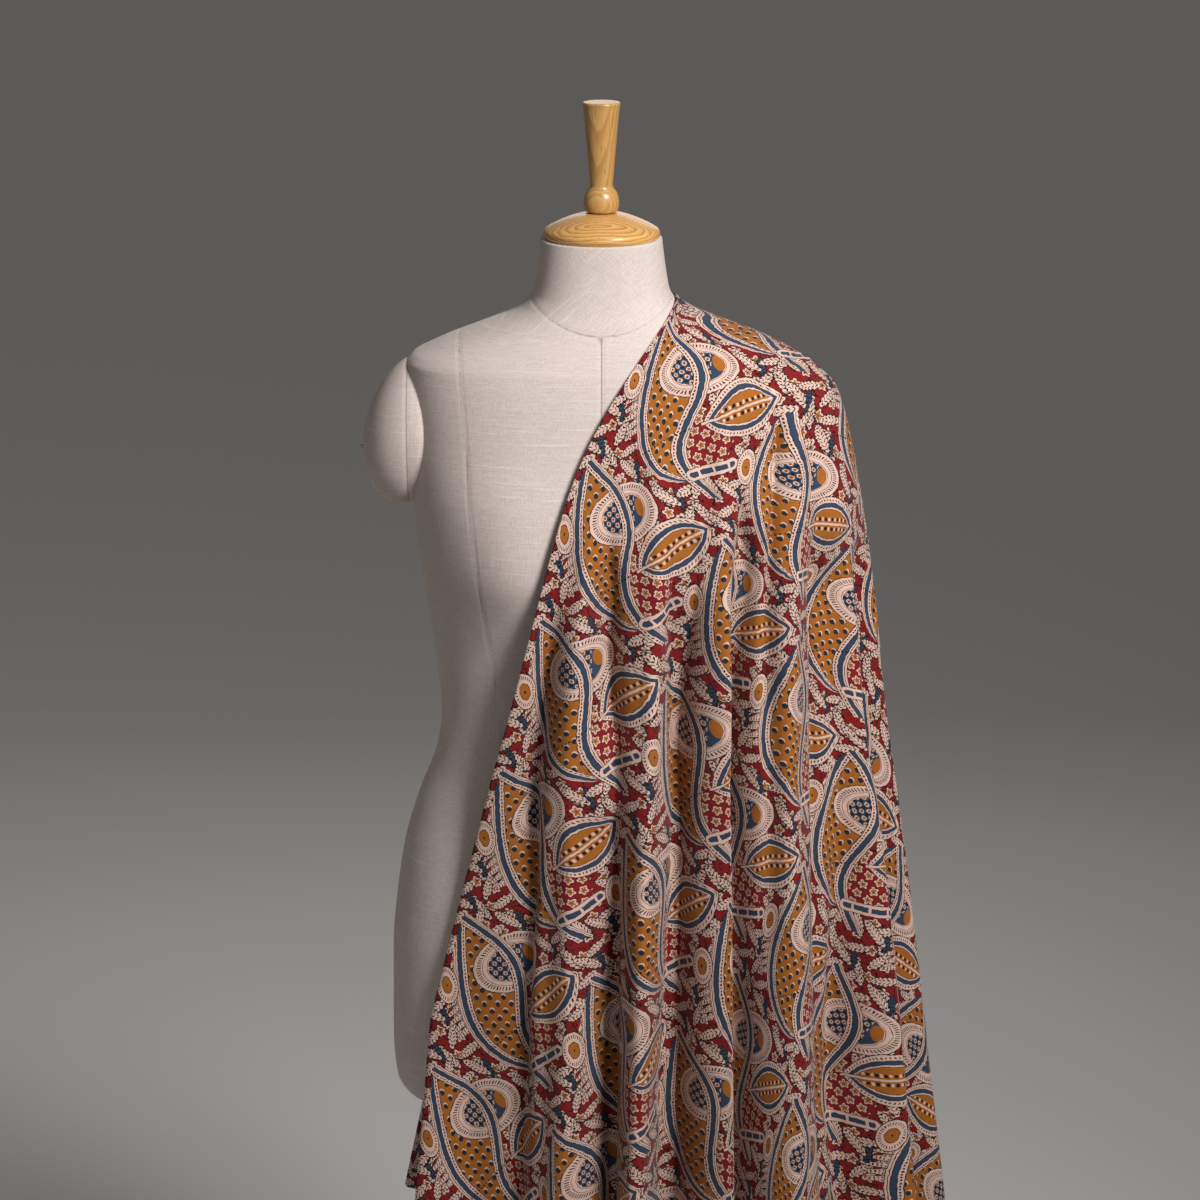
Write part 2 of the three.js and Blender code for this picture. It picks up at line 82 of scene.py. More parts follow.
VALLEYS = np.array([            # bearing at the same heights; greatest sink
    (95.6, 100.7, 104.7, 104.4, 16), (88.9, 89.4, 90, 90.4, 34), (74.6, 77.5, 79.5, 80.8, 42),
    (60.7, 69.2, 71.1, 72.4, 105), (34.1, 38.3, 40.8, 42.6, 40), (12, 14, 15.2, 16, 62),
    (-8, -9, -9, -9, 66), (-36, -37, -37.6, -38, 70), (-61, -64, -66.4, -68, 88),
    (-78, -84, -88.7, -92, 60), (-92, -101, -107.5, -112, 26)])
TOP_TURN, TOP_OVER = math.radians(12), 100

# The drawn cloth's own creases, in millimetres; a ridge has a negative depth
CREASES = np.array([            # x at the high, mid and low heights; half width, depth, start, end
    (9, 10, -4, 10, 18, 1300, 0), (-16, -28, -38, 12, -6, 1330, 0), (52, 42, 34, 13, -8, 1400, 0),
    (79, 73, 67, 11, 24, 1300, 0), (108, 108, 112, 9, -6, 1420, 0), (133, 121, 124, 7, 24, 1330, 0),
    (160, 158, 160, 5, 9, 1420, 840), (176, 174, 190, 12, -8, 1430, 0), (205, 212, 225, 9, 14, 1330, 0),
    (232, 243, 258, 15, 14, 1300, 0), (-36, -64, -96, 9, 14, 1240, 0), (-22, -48, -74, 9, -5, 1250, 0)])
CREASE_HIGH, CREASE_MID, CREASE_LOW, CREASE_FADE, CREASE_FRONT = 1265, 1050, 630, 90, 40
WANDER, WANDER_OVER, WANDER_APART = 2.5, 70, 2.1
SWELL, SWELL_OVER = 0.25, 1.7 * WANDER_OVER
LEAN_FOLD, LEAN_TOP, LEAN_OVER = 3, 1290, 260           # the main fold leans over its valley
LEAN_OUT, LEAN_OUT_AT, LEAN_OUT_WIDE = 17, 0.15, 0.45   # its crest moves out by this, at this column
LEAN_IN, LEAN_IN_AT, LEAN_IN_WIDE = 4, 1.05, 0.4        # and its valley moves in
LEAN_FALL, LEAN_RISE = 0.9, 0.34
SKIN = 0.7                      # thickness of the printed cotton as drawn
STEPS = 13                      # columns from a crest to its valley
CLOTH_ROWS, ROW_CROWD = 150, 1.5
DROP_STEP = 4.0                 # spacing of the heights at which the cut edge is looked for
NEAR_TURN = 0.02                # a small turn either way, for the hull's direction
TINY = 1e-9

# Camera: the photo is 1200 pixels square and one pixel is 0.95 mm at the form's middle
PHOTO_PIXELS, PIXEL, SENSOR = 1200, 0.00095, 36
CAMERA_AWAY, CAMERA_TILT, CAMERA_X, AIM_Z = 3.8, math.radians(14.5), -0.0014, 1.185


def smooth(t):
    """A ramp with level ends, three t squared less two t cubed, held at 0 and 1 outside."""
    s = np.clip(t, 0, 1)
    return s * s * (3 - 2 * s)


def soft_table(table, column, z):
    """A column of a table whose rows run downwards, read with a monotone cubic that never overshoots."""
    x, y = table[::-1, HEIGHT], table[::-1, column]
    step = np.diff(x)
    rise = np.diff(y) / step
    slope = np.zeros_like(y)
    same = rise[1:] * rise[:-1] > 0
    mean = 2 * rise[1:] * rise[:-1] / np.where(same, rise[1:] + rise[:-1], 1)
    slope[1:-1] = np.where(same, mean, 0)
    slope[0], slope[-1] = rise[0], rise[-1]
    z = np.clip(z, x[0], x[-1])
    i = np.clip(np.searchsorted(x, z, side="right") - 1, 0, len(x) - 2)
    t = (z - x[i]) / step[i]
    values = y[i] * (1 + 2 * t) * (1 - t) ** 2 + y[i + 1] * t * t * (3 - 2 * t)
    slopes = slope[i] * t * (1 - t) ** 2 + slope[i + 1] * t * t * (t - 1)
    return values + slopes * step[i]


def section_point(side, front, back, bearing):
    """A superellipse in plan whose front and back halves have their own depths; 90 degrees is the front."""
    c, s = np.cos(bearing), np.sin(bearing)
    deep = np.where(s > 0, front, back)
    return (side * np.sign(c) * np.abs(c) ** (2 / POWER), -deep * np.sign(s) * np.abs(s) ** (2 / POWER))


def bust_proud(x, z):
    """Two soft round rises on the front of the shell."""
    aside, above = (np.abs(x) - BUST_X) / BUST_WIDE, (z - BUST_MID) / BUST_HIGH
    return BUST_PROUD * np.exp(-aside ** 2 - above ** 2)


def torso_point(z, bearing):
    """The shell's surface: the table's section at z, with the bust added to its front half."""
    side, front, back = (soft_table(TORSO, k, z) for k in SECTION)
    x, y = section_point(side, front, back, bearing)
    return x, np.where(y < 0, y - bust_proud(x, z) * (-y / front), y)


# Making meshes

NO_SEAM = 99                    # a distance at which no seam is drawn


def mesh_piece(name, node, shape, material, uv=None, seam=None):
    """A new object in a node's place: points in millimetres, faces, and its UVs or seam distances."""
    points, faces = shape
    mesh = bpy.data.meshes.new(name)
    mesh.from_pydata((points * MM).tolist(), [], faces)
    mesh.validate()
    mesh.shade_smooth()
    if uv is not None:
        layer = mesh.uv_layers.new(name="flat")
        corner = np.empty(len(mesh.loops), dtype=np.int32)
        mesh.loops.foreach_get("vertex_index", corner)
        layer.data.foreach_set("uv", uv.astype(np.float32)[corner].ravel())
    if seam is not None:
        attribute = mesh.attributes.new("seam", "FLOAT", "POINT")
        attribute.data.foreach_set("value", np.append(seam, (NO_SEAM, NO_SEAM)).astype(np.float32))
    mesh.materials.append(material)
    piece = bpy.data.objects.new(name, mesh)
    bpy.context.scene.collection.objects.link(piece)
    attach(piece, "root")
    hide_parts(node)
    return piece


def grid_faces(rows, columns, closed):
    """Quads between neighbouring rows of a grid; a closed grid joins its last column to its first."""
    across = columns if closed else columns - 1
    r, c = np.meshgrid(np.arange(rows - 1), np.arange(across), indexing="ij")
    n = (c + 1) % columns
    here, below = r * columns, (r + 1) * columns
    return np.stack((here + c, below + c, below + n, here + n), -1).reshape(-1, 4)


def closed_rings(rings, first, last, turned_over):
    """Rings of points joined into a closed body, with a fan of triangles to a middle point at each end."""
    count, around = rings.shape[:2]
    end = count * around
    faces = grid_faces(count, around, True).tolist()
    for c in range(around):
        n = (c + 1) % around
        faces += [(end, c, n), (end + 1, end - around + n, end - around + c)]
    return np.vstack((rings.reshape(-1, 3), first, last)), [f[::-1] if turned_over else f for f in faces]


SIDES, CORNER_ROUNDS, CORNER_CUT = 96, 2, 0.25


def turned_piece(name, node, material, profile):
    """A profile of radius and height, its corners softened by rounds of corner cutting, turned about Z."""
    line = np.array(profile, dtype=float)
    for _ in range(CORNER_ROUNDS):
        a, b = line[:-1], line[1:]
        near, far = (1 - CORNER_CUT) * a + CORNER_CUT * b, CORNER_CUT * a + (1 - CORNER_CUT) * b
        line = np.vstack((line[:1], np.stack((near, far), 1).reshape(-1, 2), line[-1:]))
    inner = line[1:-1]
    turn = np.linspace(0, 2 * np.pi, SIDES, endpoint=False)
    rings = np.stack((inner[:, :1] * np.cos(turn), inner[:, :1] * np.sin(turn),
                      np.repeat(inner[:, 1:], SIDES, 1)), -1)
    shape = closed_rings(rings, (0, 0, line[0, 1]), (0, 0, line[-1, 1]), True)
    mesh_piece(name, node, shape, material)


# Shader helpers

def adder(operation):
    """A method that adds one math node of an operation."""
    return lambda net, *values: net.math(operation, *values)


class Net:
    """Adds nodes to one material or group, so that a formula reads as a formula."""

    def __init__(self, tree):
        self.tree = tree

    def node(self, kind, **settings):
        made = self.tree.nodes.new(kind)
        for key, value in settings.items():
            setattr(made, key, value)
        return made

    def put(self, socket, value):
        if isinstance(value, bpy.types.NodeSocket):
            self.tree.links.new(value, socket)
        else:
            socket.default_value = value

    def fill(self, node, **values):
        """Links or sets a node's sockets, named with underscores for spaces."""
        for key, value in values.items():
            self.put(node.inputs[key.replace("_", " ")], value)

    def math(self, operation, *values, clamp=False):
        made = self.node("ShaderNodeMath", operation=operation, use_clamp=clamp)
        for socket, value in zip(made.inputs, values):
            self.put(socket, value)
        return made.outputs[0]

    add, sub, mul = adder("ADD"), adder("SUBTRACT"), adder("MULTIPLY")
    mad = adder("MULTIPLY_ADD")                 # a times b, plus c
    less, more = adder("LESS_THAN"), adder("GREATER_THAN")
    low, high = adder("MINIMUM"), adder("MAXIMUM")
    sine, angle, size = adder("SINE"), adder("ARCTAN2"), adder("ABSOLUTE")
    wrap, zigzag = adder("FLOORED_MODULO"), adder("PINGPONG")

    def far(self, a, b):
        """Distance from zero of a point at a, b."""
        return self.math("SQRT", self.mad(a, a, self.mul(b, b)))

    def share(self, a, times):
        """a times a number, held between 0 and 1."""
        return self.math("MULTIPLY", a, times, clamp=True)

    def mix(self, share, a, b):
        made = self.node("ShaderNodeMix", data_type="RGBA")
        self.put(made.inputs[0], share)
        self.put(made.inputs[6], a)
        self.put(made.inputs[7], b)
        return made.outputs[2]

    def ramp(self, value, stops, low=0.0, high=1.0, steps=True):
        """Colours by value: stops are (value, colour) between low and high."""
        made = self.node("ShaderNodeValToRGB")
        made.color_ramp.interpolation = "CONSTANT" if steps else "LINEAR"
        line = made.color_ramp.elements
        while len(line) < len(stops):
            line.new(0.5)
        for place, (at, colour) in zip(line, stops):
            place.position = (at - low) / (high - low)
            place.color = colour
        scaled = self.mad(value, 1 / (high - low), -low / (high - low))
        self.put(made.inputs[0], scaled)
        return made.outputs[0]

    def noise(self, vector, scale=1.0, detail=2.0, rough=0.5):
        made = self.node("ShaderNodeTexNoise")
        self.fill(made, Vector=vector, Scale=scale, Detail=detail, Roughness=rough)
        return made.outputs["Fac"]

    def stretch(self, vector, scale, move=(0, 0, 0)):
        made = self.node("ShaderNodeMapping")
        self.fill(made, Vector=vector, Scale=scale, Location=move)
        return made.outputs[0]

    def place(self):
            return self.node("ShaderNodeTexCoord").outputs["Object"]

    def tone(self, value, colour):
        """A colour made lighter or darker by a value."""
        made = self.node("ShaderNodeHueSaturation")
        self.fill(made, Value=value, Color=colour)
        return made.outputs[0]


def srgb(red, green, blue):
    """A colour as seen on screen, 0 to 255, as the linear values that shaders use."""
    line = [v / 255 for v in (red, green, blue)]
    return tuple(v / 12.92 if v <= 0.04045 else ((v + 0.055) / 1.055) ** 2.4 for v in line) + (1.0,)


def new_material(name):
    """A material with its node helper and its shader."""
    material = bpy.data.materials.new(name)
    material.use_nodes = True
    return material, Net(material.node_tree), material.node_tree.nodes["Principled BSDF"]


def bump(net, shader, height, strength, distance):
    """Tilts the shader's normal by a height, over a distance in metres."""
    made = net.node("ShaderNodeBump")
    net.fill(made, Strength=strength, Distance=distance, Height=height)
    net.fill(shader, Normal=made.outputs[0])


# The print, in millimetres on the flat cloth. STEPS lists give the value at which each colour starts,
# pairs are a zone's start and end, and TICKS, SPOKES, DOTS and BREAKS are hatch's last four numbers.

CREAM = srgb(224, 190, 175)
MADDER = srgb(132, 15, 15)
INDIGO = srgb(46, 64, 88)
MUSTARD = srgb(168, 99, 28)
INK = srgb(14, 11, 14)
DOT_INK = srgb(30, 38, 46)
REPEAT = 155.0
RING_ACROSS, RING_ALONG = 66.0, 85.0    # the first ring's middle on the flat cloth,
RING_X, RING_Y = 58.0, 52.0             # and any ring's middle within its square
MOTIF_TURN = math.radians(22)           # the motif stands askew to the weave
SHAKE_SCALE, SHAKE_DETAIL, SHAKE_REACH = 210, 3, 0.0026     # unsteady hand-cut edges, in metres
SPECK_SCALE, SPECK_FROM = 300, 0.6      # ink specks in the madder


def window(net, value, low, high):
    """1 where value lies between low and high."""
    return net.math("COMPARE", value, (low + high) / 2, (high - low) / 2)


def hatch(net, along, across, count, share, low, high):
    """1 on a share of each of count even steps in a unit along, where across is between low and high."""
    return net.mul(net.less(net.math("FRACT", net.mul(along, count)), share), window(net, across, low, high))


def turned_by(net, x, y, middle_x, middle_y, angle):
    """Coordinates about a middle, along and across a line at an angle."""
    c, s = math.cos(angle), math.sin(angle)
    along = net.mad(x, c, net.mad(y, s, -middle_x * c - middle_y * s))
    across = net.mad(x, -s, net.mad(y, c, middle_x * s - middle_y * c))
    return along, across


def oval_at(net, along, across, long, short):
    """Distance from the middle of an oval as a share of its own radius."""
    return net.far(net.mul(along, 1 / long), net.mul(across, 1 / short))


def leaf_reach(net, along, half):
    """What an arch of the given half length leaves at a place along it: 1 in the middle, 0 at its ends."""
    return net.high(net.mad(net.mul(along, -1 / half), net.mul(along, 1 / half), 1.0), 0.0)


def tiled(net, value, shift, pitch):
    """A coordinate that repeats every pitch and is zero in the middle of each tile."""
    return net.sub(net.wrap(net.add(value, shift), pitch), pitch / 2)


BAND_STEPS = [(-7.4, INK), (-6.8, CREAM), (-5.0, INK), (-4.4, CREAM), (-3.1, INK), (-2.5, INDIGO),
              (1.9, INK), (2.5, CREAM), (7.0, INK)]
BAND_RANGE, BAND_ZONE, BAND_DOTS = 8, (-7.4, 7.8), (1 / 3.1, 0.62, 4.1, 5.5)


def stripes(net, base, distance, inside, along):
    """A block-cut band over base: a cream edge, ink lines, indigo, and a cream edge with a dotted line."""
    band = net.ramp(distance, BAND_STEPS, -BAND_RANGE, BAND_RANGE)
    band = net.mix(hatch(net, along, distance, *BAND_DOTS), band, INK)
    return net.mix(net.mul(window(net, distance, *BAND_ZONE), inside), base, band)


FERNS = [   # tiles in a repeat across, along; shift across, along; angle; half length, half width; body
    (4, 5, 4, 3, 0.45, 14.5, 5.4, CREAM), (3, 4, 20, 9, 0.9, 11, 3.6, INDIGO),
    (4, 5, 23, 17, -0.95, 12, 4.8, CREAM), (3, 5, 9, 24, 1.5, 11, 4.6, CREAM),
    (3, 4, 33, 6, 0.1, 15, 5.0, CREAM)]
FERN_SLANT, FERN_TOOTH, FERN_CUT, FERN_LINE = 0.8, 1.9, 0.8, 1.2
FERN_TICKS = (1 / 3.8, 0.42, 1.2, 3.2)


def fern(net, base, across, along, row):
    """Leaves in tiles over base: an oval with a toothed edge, an ink outline and slanting ticks."""
    fit_x, fit_y, shift_x, shift_y, angle, long, wide, body = row
    x, y = tiled(net, across, shift_x, REPEAT / fit_x), tiled(net, along, shift_y, REPEAT / fit_y)
    a, b = turned_by(net, x, y, 0, 0, angle)
    side = net.size(b)
    slant = net.mad(side, FERN_SLANT, a)
    tooth = net.mul(net.zigzag(slant, FERN_TOOTH), -FERN_CUT)
    gap = net.sub(net.mad(net.math("SQRT", leaf_reach(net, a, long)), wide, tooth), side)
    inner = net.mix(hatch(net, slant, gap, *FERN_TICKS), body, INK)
    return net.mix(net.more(gap, 0.0), net.mix(net.more(gap, -FERN_LINE), base, INK), inner)


BLOSSOM_X, BLOSSOM_Y, BLOSSOM_RANGE = 5.0, 2.0, 10
PETALS, PETAL_CUT, PETAL_EDGE = 5.0, 0.22, 1.14
BLOSSOM_EYE, BLOSSOM_CORE, BLOSSOM_LINE = 0.3, 0.55, 0.62
GROUND_TILES, GROUND_FLOWER = 8, 4.8


def blossoms(net, base, across, along, pitch, size):
    """Small mustard flowers in tiles over base: cream petals by a wave in the angle round the middle."""
    x, y = tiled(net, across, BLOSSOM_X, pitch), tiled(net, along, BLOSSOM_Y, pitch)
    petal = net.mad(net.sine(net.mul(net.angle(y, x), PETALS)), -PETAL_CUT * size, net.far(x, y))
    flower = net.ramp(petal, [(0.0, INK), (BLOSSOM_EYE, MUSTARD), (BLOSSOM_CORE * size, INK),
                              (BLOSSOM_LINE * size, CREAM), (size, INK)], 0, BLOSSOM_RANGE)
    return net.mix(net.less(petal, PETAL_EDGE * size), base, flower)


TIP_X, TIP_Y, END_X, END_Y = -47.0, -42.0, 17.0, 104.0    # the paisley's ends, from the ring's middle
BELLY, BELLY_LATE, BELLY_FULL = 44.0, 1.5, 0.6            # its left edge
NECK_MIDDLE, NECK_SWING, NECK_AT = 13.0, 15.0, 0.35       # and its right edge
WHOLE, TAIL = (0.0, 1.0), (-0.01, 1.13)                   # how far the two bands run


def paisley_edges(net, mx, my):
    """Places on the line from tip to end, and distances inside two edges: a sine's power and a cosine."""
    length = math.hypot(END_X - TIP_X, END_Y - TIP_Y)
    down, b = turned_by(net, mx, my, TIP_X, TIP_Y, math.atan2(END_Y - TIP_Y, END_X - TIP_X))
    t = net.mul(down, 1 / length)
    b = net.mul(b, -1.0)
    belly = net.sine(net.mul(net.math("POWER", net.share(t, 1.0), BELLY_LATE), math.pi))
    left = net.mad(net.math("POWER", net.high(belly, 0.0), BELLY_FULL), BELLY, b)
    swing = net.math("COSINE", net.mad(t, 2 * math.pi, -2 * math.pi * NECK_AT))
    right = net.mad(swing, NECK_SWING, net.mad(b, -1.0, NECK_MIDDLE))
    return t, down, left, right


FRINGE_LEAN, FRINGE_LOBE, FRINGE_THIN, FRINGE_MIDDLE, FRINGE_REACH = 0.25, 3.9, 0.16, 4.6, 20.0
FRINGE_TICKS = (1 / 3.0, 0.4, 0.7, 2.2)
FRINGE_ZONE, FRINGE_SPAN, FRINGE_LINE = (-21.0, -7.0), (0.06, 0.62), 0.7


def fringe(net, base, left, down, t):
    """Lobes on the left band's outer side: a zigzag along it, thinner further out, with ticks."""
    lobe = net.zigzag(net.mad(left, FRINGE_LEAN, down), FRINGE_LOBE)
    gap = net.sub(net.mad(left, FRINGE_THIN, FRINGE_MIDDLE), lobe)
    gap = net.low(gap, net.add(left, FRINGE_REACH))
    leaves = net.mix(net.more(gap, 0.0), INK, net.mix(hatch(net, left, gap, *FRINGE_TICKS), CREAM, INK))
    near = net.mul(window(net, left, *FRINGE_ZONE), window(net, t, *FRINGE_SPAN))
    return net.mix(net.mul(near, net.more(gap, -FRINGE_LINE)), base, leaves)


POCKET_NEAR, POCKET_FAR, POCKET_SLOPE, POCKET_SIDE = 44.0, 100.0, 0.3, 52.0
POCKET_PITCH, POCKET_FLOWER = 11.0, 3.9


def pocket(net, base, mx, my, right):
    """Flowers in the corner between the paisley, the leaf and the link: inside three straight lines."""
    far = net.mad(my, -1.0, net.mad(mx, -POCKET_SLOPE, POCKET_FAR))
    inside = net.low(net.low(net.add(my, -POCKET_NEAR), far), net.mad(mx, -1.0, POCKET_SIDE))
    inside = net.mul(net.more(inside, 0.0), net.less(right, 0.0))
    return net.mix(inside, base, blossoms(net, MADDER, mx, my, POCKET_PITCH, POCKET_FLOWER))


FIELD_WAVE, FIELD_DOT, GLINT_A, GLINT_B = math.pi / 13.8, 0.7, 0.3, -0.42


def dotted_field(net, base, mx, my, inside):
    """Mustard with ink dots where two crossing sine waves are strong, and cream glints beside them."""
    a, b = net.add(mx, my), net.sub(mx, my)
    dots = net.mul(net.sine(net.mul(a, FIELD_WAVE)), net.sine(net.mul(b, FIELD_WAVE)))
    glint = net.mul(net.sine(net.mad(a, FIELD_WAVE, GLINT_A)), net.sine(net.mad(b, FIELD_WAVE, GLINT_B)))
    field = net.mix(net.more(net.size(glint), FIELD_DOT), MUSTARD, CREAM)
    field = net.mix(net.more(net.size(dots), FIELD_DOT), field, DOT_INK)
    return net.mix(inside, base, field)


RING_TURN, RING_LONG, RING_SHORT, RING_INNER, RING_RANGE = math.radians(-24), 44.0, 27.0, 0.6, 1.1
RING_STEPS = [(0.0, CREAM), (0.62, INK), (0.635, CREAM), (0.735, INK), (0.75, CREAM), (0.975, INK)]
RING_SPOKES, RING_ROUND = (10.5, 0.4, 0.79, 0.9), 1.62
LOBE_STEPS = [(-1.0, INK), (-0.62, INDIGO), (0.2, CREAM), (0.62, MUSTARD), (0.92, INK)]
LOBE_LEAN, LOBE_WAVE_A, LOBE_WAVE_B = 0.5, math.pi / 5.6, math.pi / 5.0
EYE_FROM, EYE_AT, EYE_LONG, EYE_SHORT = 12.0, 21.0, 6.0, 8.5


def ring(net, base, mx, my):
    """An oval ring with spokes, blue within: crossing waves make its small leaves, an oval its eye."""
    a, b = turned_by(net, mx, my, 0, 0, RING_TURN)
    oval = oval_at(net, a, b, RING_LONG, RING_SHORT)
    waves = net.mul(net.sine(net.mul(net.mad(b, LOBE_LEAN, a), LOBE_WAVE_A)),
                    net.sine(net.mul(net.mad(a, -LOBE_LEAN, b), LOBE_WAVE_B)))
    eye = net.less(oval_at(net, net.sub(a, EYE_AT), b, EYE_LONG, EYE_SHORT), 1.0)
    lobes = net.ramp(waves, LOBE_STEPS, -1, 1)
    lobes = net.mix(net.more(mx, EYE_FROM), lobes, net.mix(eye, INDIGO, MUSTARD))
    spokes = hatch(net, net.angle(net.mul(b, RING_ROUND), a), oval, *RING_SPOKES)
    band = net.mix(spokes, net.ramp(oval, RING_STEPS, 0, RING_RANGE), INK)
    band = net.mix(net.less(oval, RING_INNER), band, lobes)
    return net.mix(net.less(oval, 1.0), base, band)


LEAF_X, LEAF_Y, LEAF_TURN = 52.0, 27.0, math.radians(-34)
LEAF_LONG, LEAF_WIDE, LEAF_POINT = 42.0, 27.0, 0.85
LEAF_STEPS = [(-1.0, INK), (0.6, CREAM), (6.1, INK), (6.6, INDIGO), (10.4, INK), (10.8, CREAM),
              (12.4, INK), (12.9, MUSTARD)]
LEAF_RANGE, LEAF_EDGE = (-2, 26), -1.0
SCALLOP, SCALLOP_LEAN, SCALLOP_CUT = 2.1, 0.5, 0.7
LEAF_TICKS = (1 / 3.6, 0.38, 2.6, 4.7)
SEED_WAVE, SEED_ZONE, SEED_DARK, SEED_PALE = math.pi / 3.7, (3.0, 6.2), 0.35, -0.5
DARK_WITHIN, PALE_WITHIN, RIB_WITHIN, RIB = 13.6, 13.4, 12.0, 1.1
STEM, STEM_SPAN = 1.7, (-44.0, -22.0)


def almond_leaf(net, base, mx, my):
    """A pointed oval, a power of an arch, in bands with a scalloped halo, seeds by its rib, and a stem."""
    a, b = turned_by(net, mx, my, LEAF_X, LEAF_Y, LEAF_TURN)
    side = net.size(b)
    within = net.sub(net.mul(net.math("POWER", leaf_reach(net, a, LEAF_LONG), LEAF_POINT), LEAF_WIDE), side)
    slant = net.mad(side, SCALLOP_LEAN, a)
    leaf = net.mix(hatch(net, slant, within, *LEAF_TICKS), net.ramp(within, LEAF_STEPS, *LEAF_RANGE), INK)
    seed = net.mul(net.sine(net.mul(a, SEED_WAVE)), window(net, side, *SEED_ZONE))
    leaf = net.mix(net.mul(net.more(seed, SEED_DARK), net.more(within, DARK_WITHIN)), leaf, INK)
    leaf = net.mix(net.mul(net.less(seed, SEED_PALE), net.more(within, PALE_WITHIN)), leaf, CREAM)
    leaf = net.mix(net.mul(net.less(side, RIB), net.more(within, RIB_WITHIN)), leaf, CREAM)
    edge = net.mad(net.zigzag(slant, SCALLOP), -SCALLOP_CUT, within)
    colour = net.mix(net.more(edge, LEAF_EDGE), base, leaf)
    stem = net.mul(net.less(side, STEM), window(net, a, *STEM_SPAN))
    return net.mix(stem, colour, net.mix(net.less(side, RIB), INK, CREAM))


LINK_X, LINK_Y, LINK_TURN, LINK_HALF = 39.0, 89.0, math.radians(-27), 22.0
LINK_STEPS = [(0.0, INDIGO), (2.1, INK), (2.5, CREAM), (5.4, INK)]
LINK_RANGE, LINK_EDGE, LINK_BREAKS = 8, 5.9, (1 / 16.0, 0.16, -1.0, 2.5)


def link(net, base, mx, my):
    """The rounded bar that the left band ends in: distances from a short line, its core broken in dashes."""
    a, b = turned_by(net, mx, my, LINK_X, LINK_Y, LINK_TURN)
    far = net.far(net.high(net.sub(net.size(a), LINK_HALF), 0.0), b)
    bar = net.mix(hatch(net, a, far, *LINK_BREAKS), net.ramp(far, LINK_STEPS, 0, LINK_RANGE), CREAM)
    return net.mix(net.less(far, LINK_EDGE), base, bar)


BLOOM_X, BLOOM_Y, BLOOM_WIDE, BLOOM_HIGH, BLOOM_RANGE, BLOOM_EDGE = 76.0, -20.0, 11.0, 18.5, 1.1, 1.02
BLOOM_STEPS = [(0.0, INK), (0.07, MUSTARD), (0.42, INK), (0.46, CREAM), (0.95, INK)]
BLOOM_SPOKES, BLOOM_ROUND = (4.6, 0.36, 0.66, 0.84), 0.6


def oval_bloom(net, base, across, along):
    """A small oval flower in a ring of ticks, between the columns of motifs."""
    x, y = tiled(net, across, BLOOM_X, REPEAT), tiled(net, along, BLOOM_Y, REPEAT)
    x, y = turned_by(net, x, y, 0, 0, -MOTIF_TURN)
    oval = oval_at(net, x, y, BLOOM_WIDE, BLOOM_HIGH)
    spokes = hatch(net, net.angle(net.mul(y, BLOOM_ROUND), x), oval, *BLOOM_SPOKES)
    bloom = net.mix(spokes, net.ramp(oval, BLOOM_STEPS, 0, BLOOM_RANGE), INK)
    return net.mix(net.less(oval, BLOOM_EDGE), base, bloom)


PATCH_SCALE, PATCH_DETAIL, PATCH_ROUGH, GRAIN_SCALE = 60, 5, 0.65, 1400
DYE_LEAST, DYE_PATCH, DYE_GRAIN = 0.4, 0.5, 0.36
THREAD_WAVE, FUZZ_SCALE, FUZZ = 2 * math.pi / 0.0007, 900, 1.5     # the weave, per metre


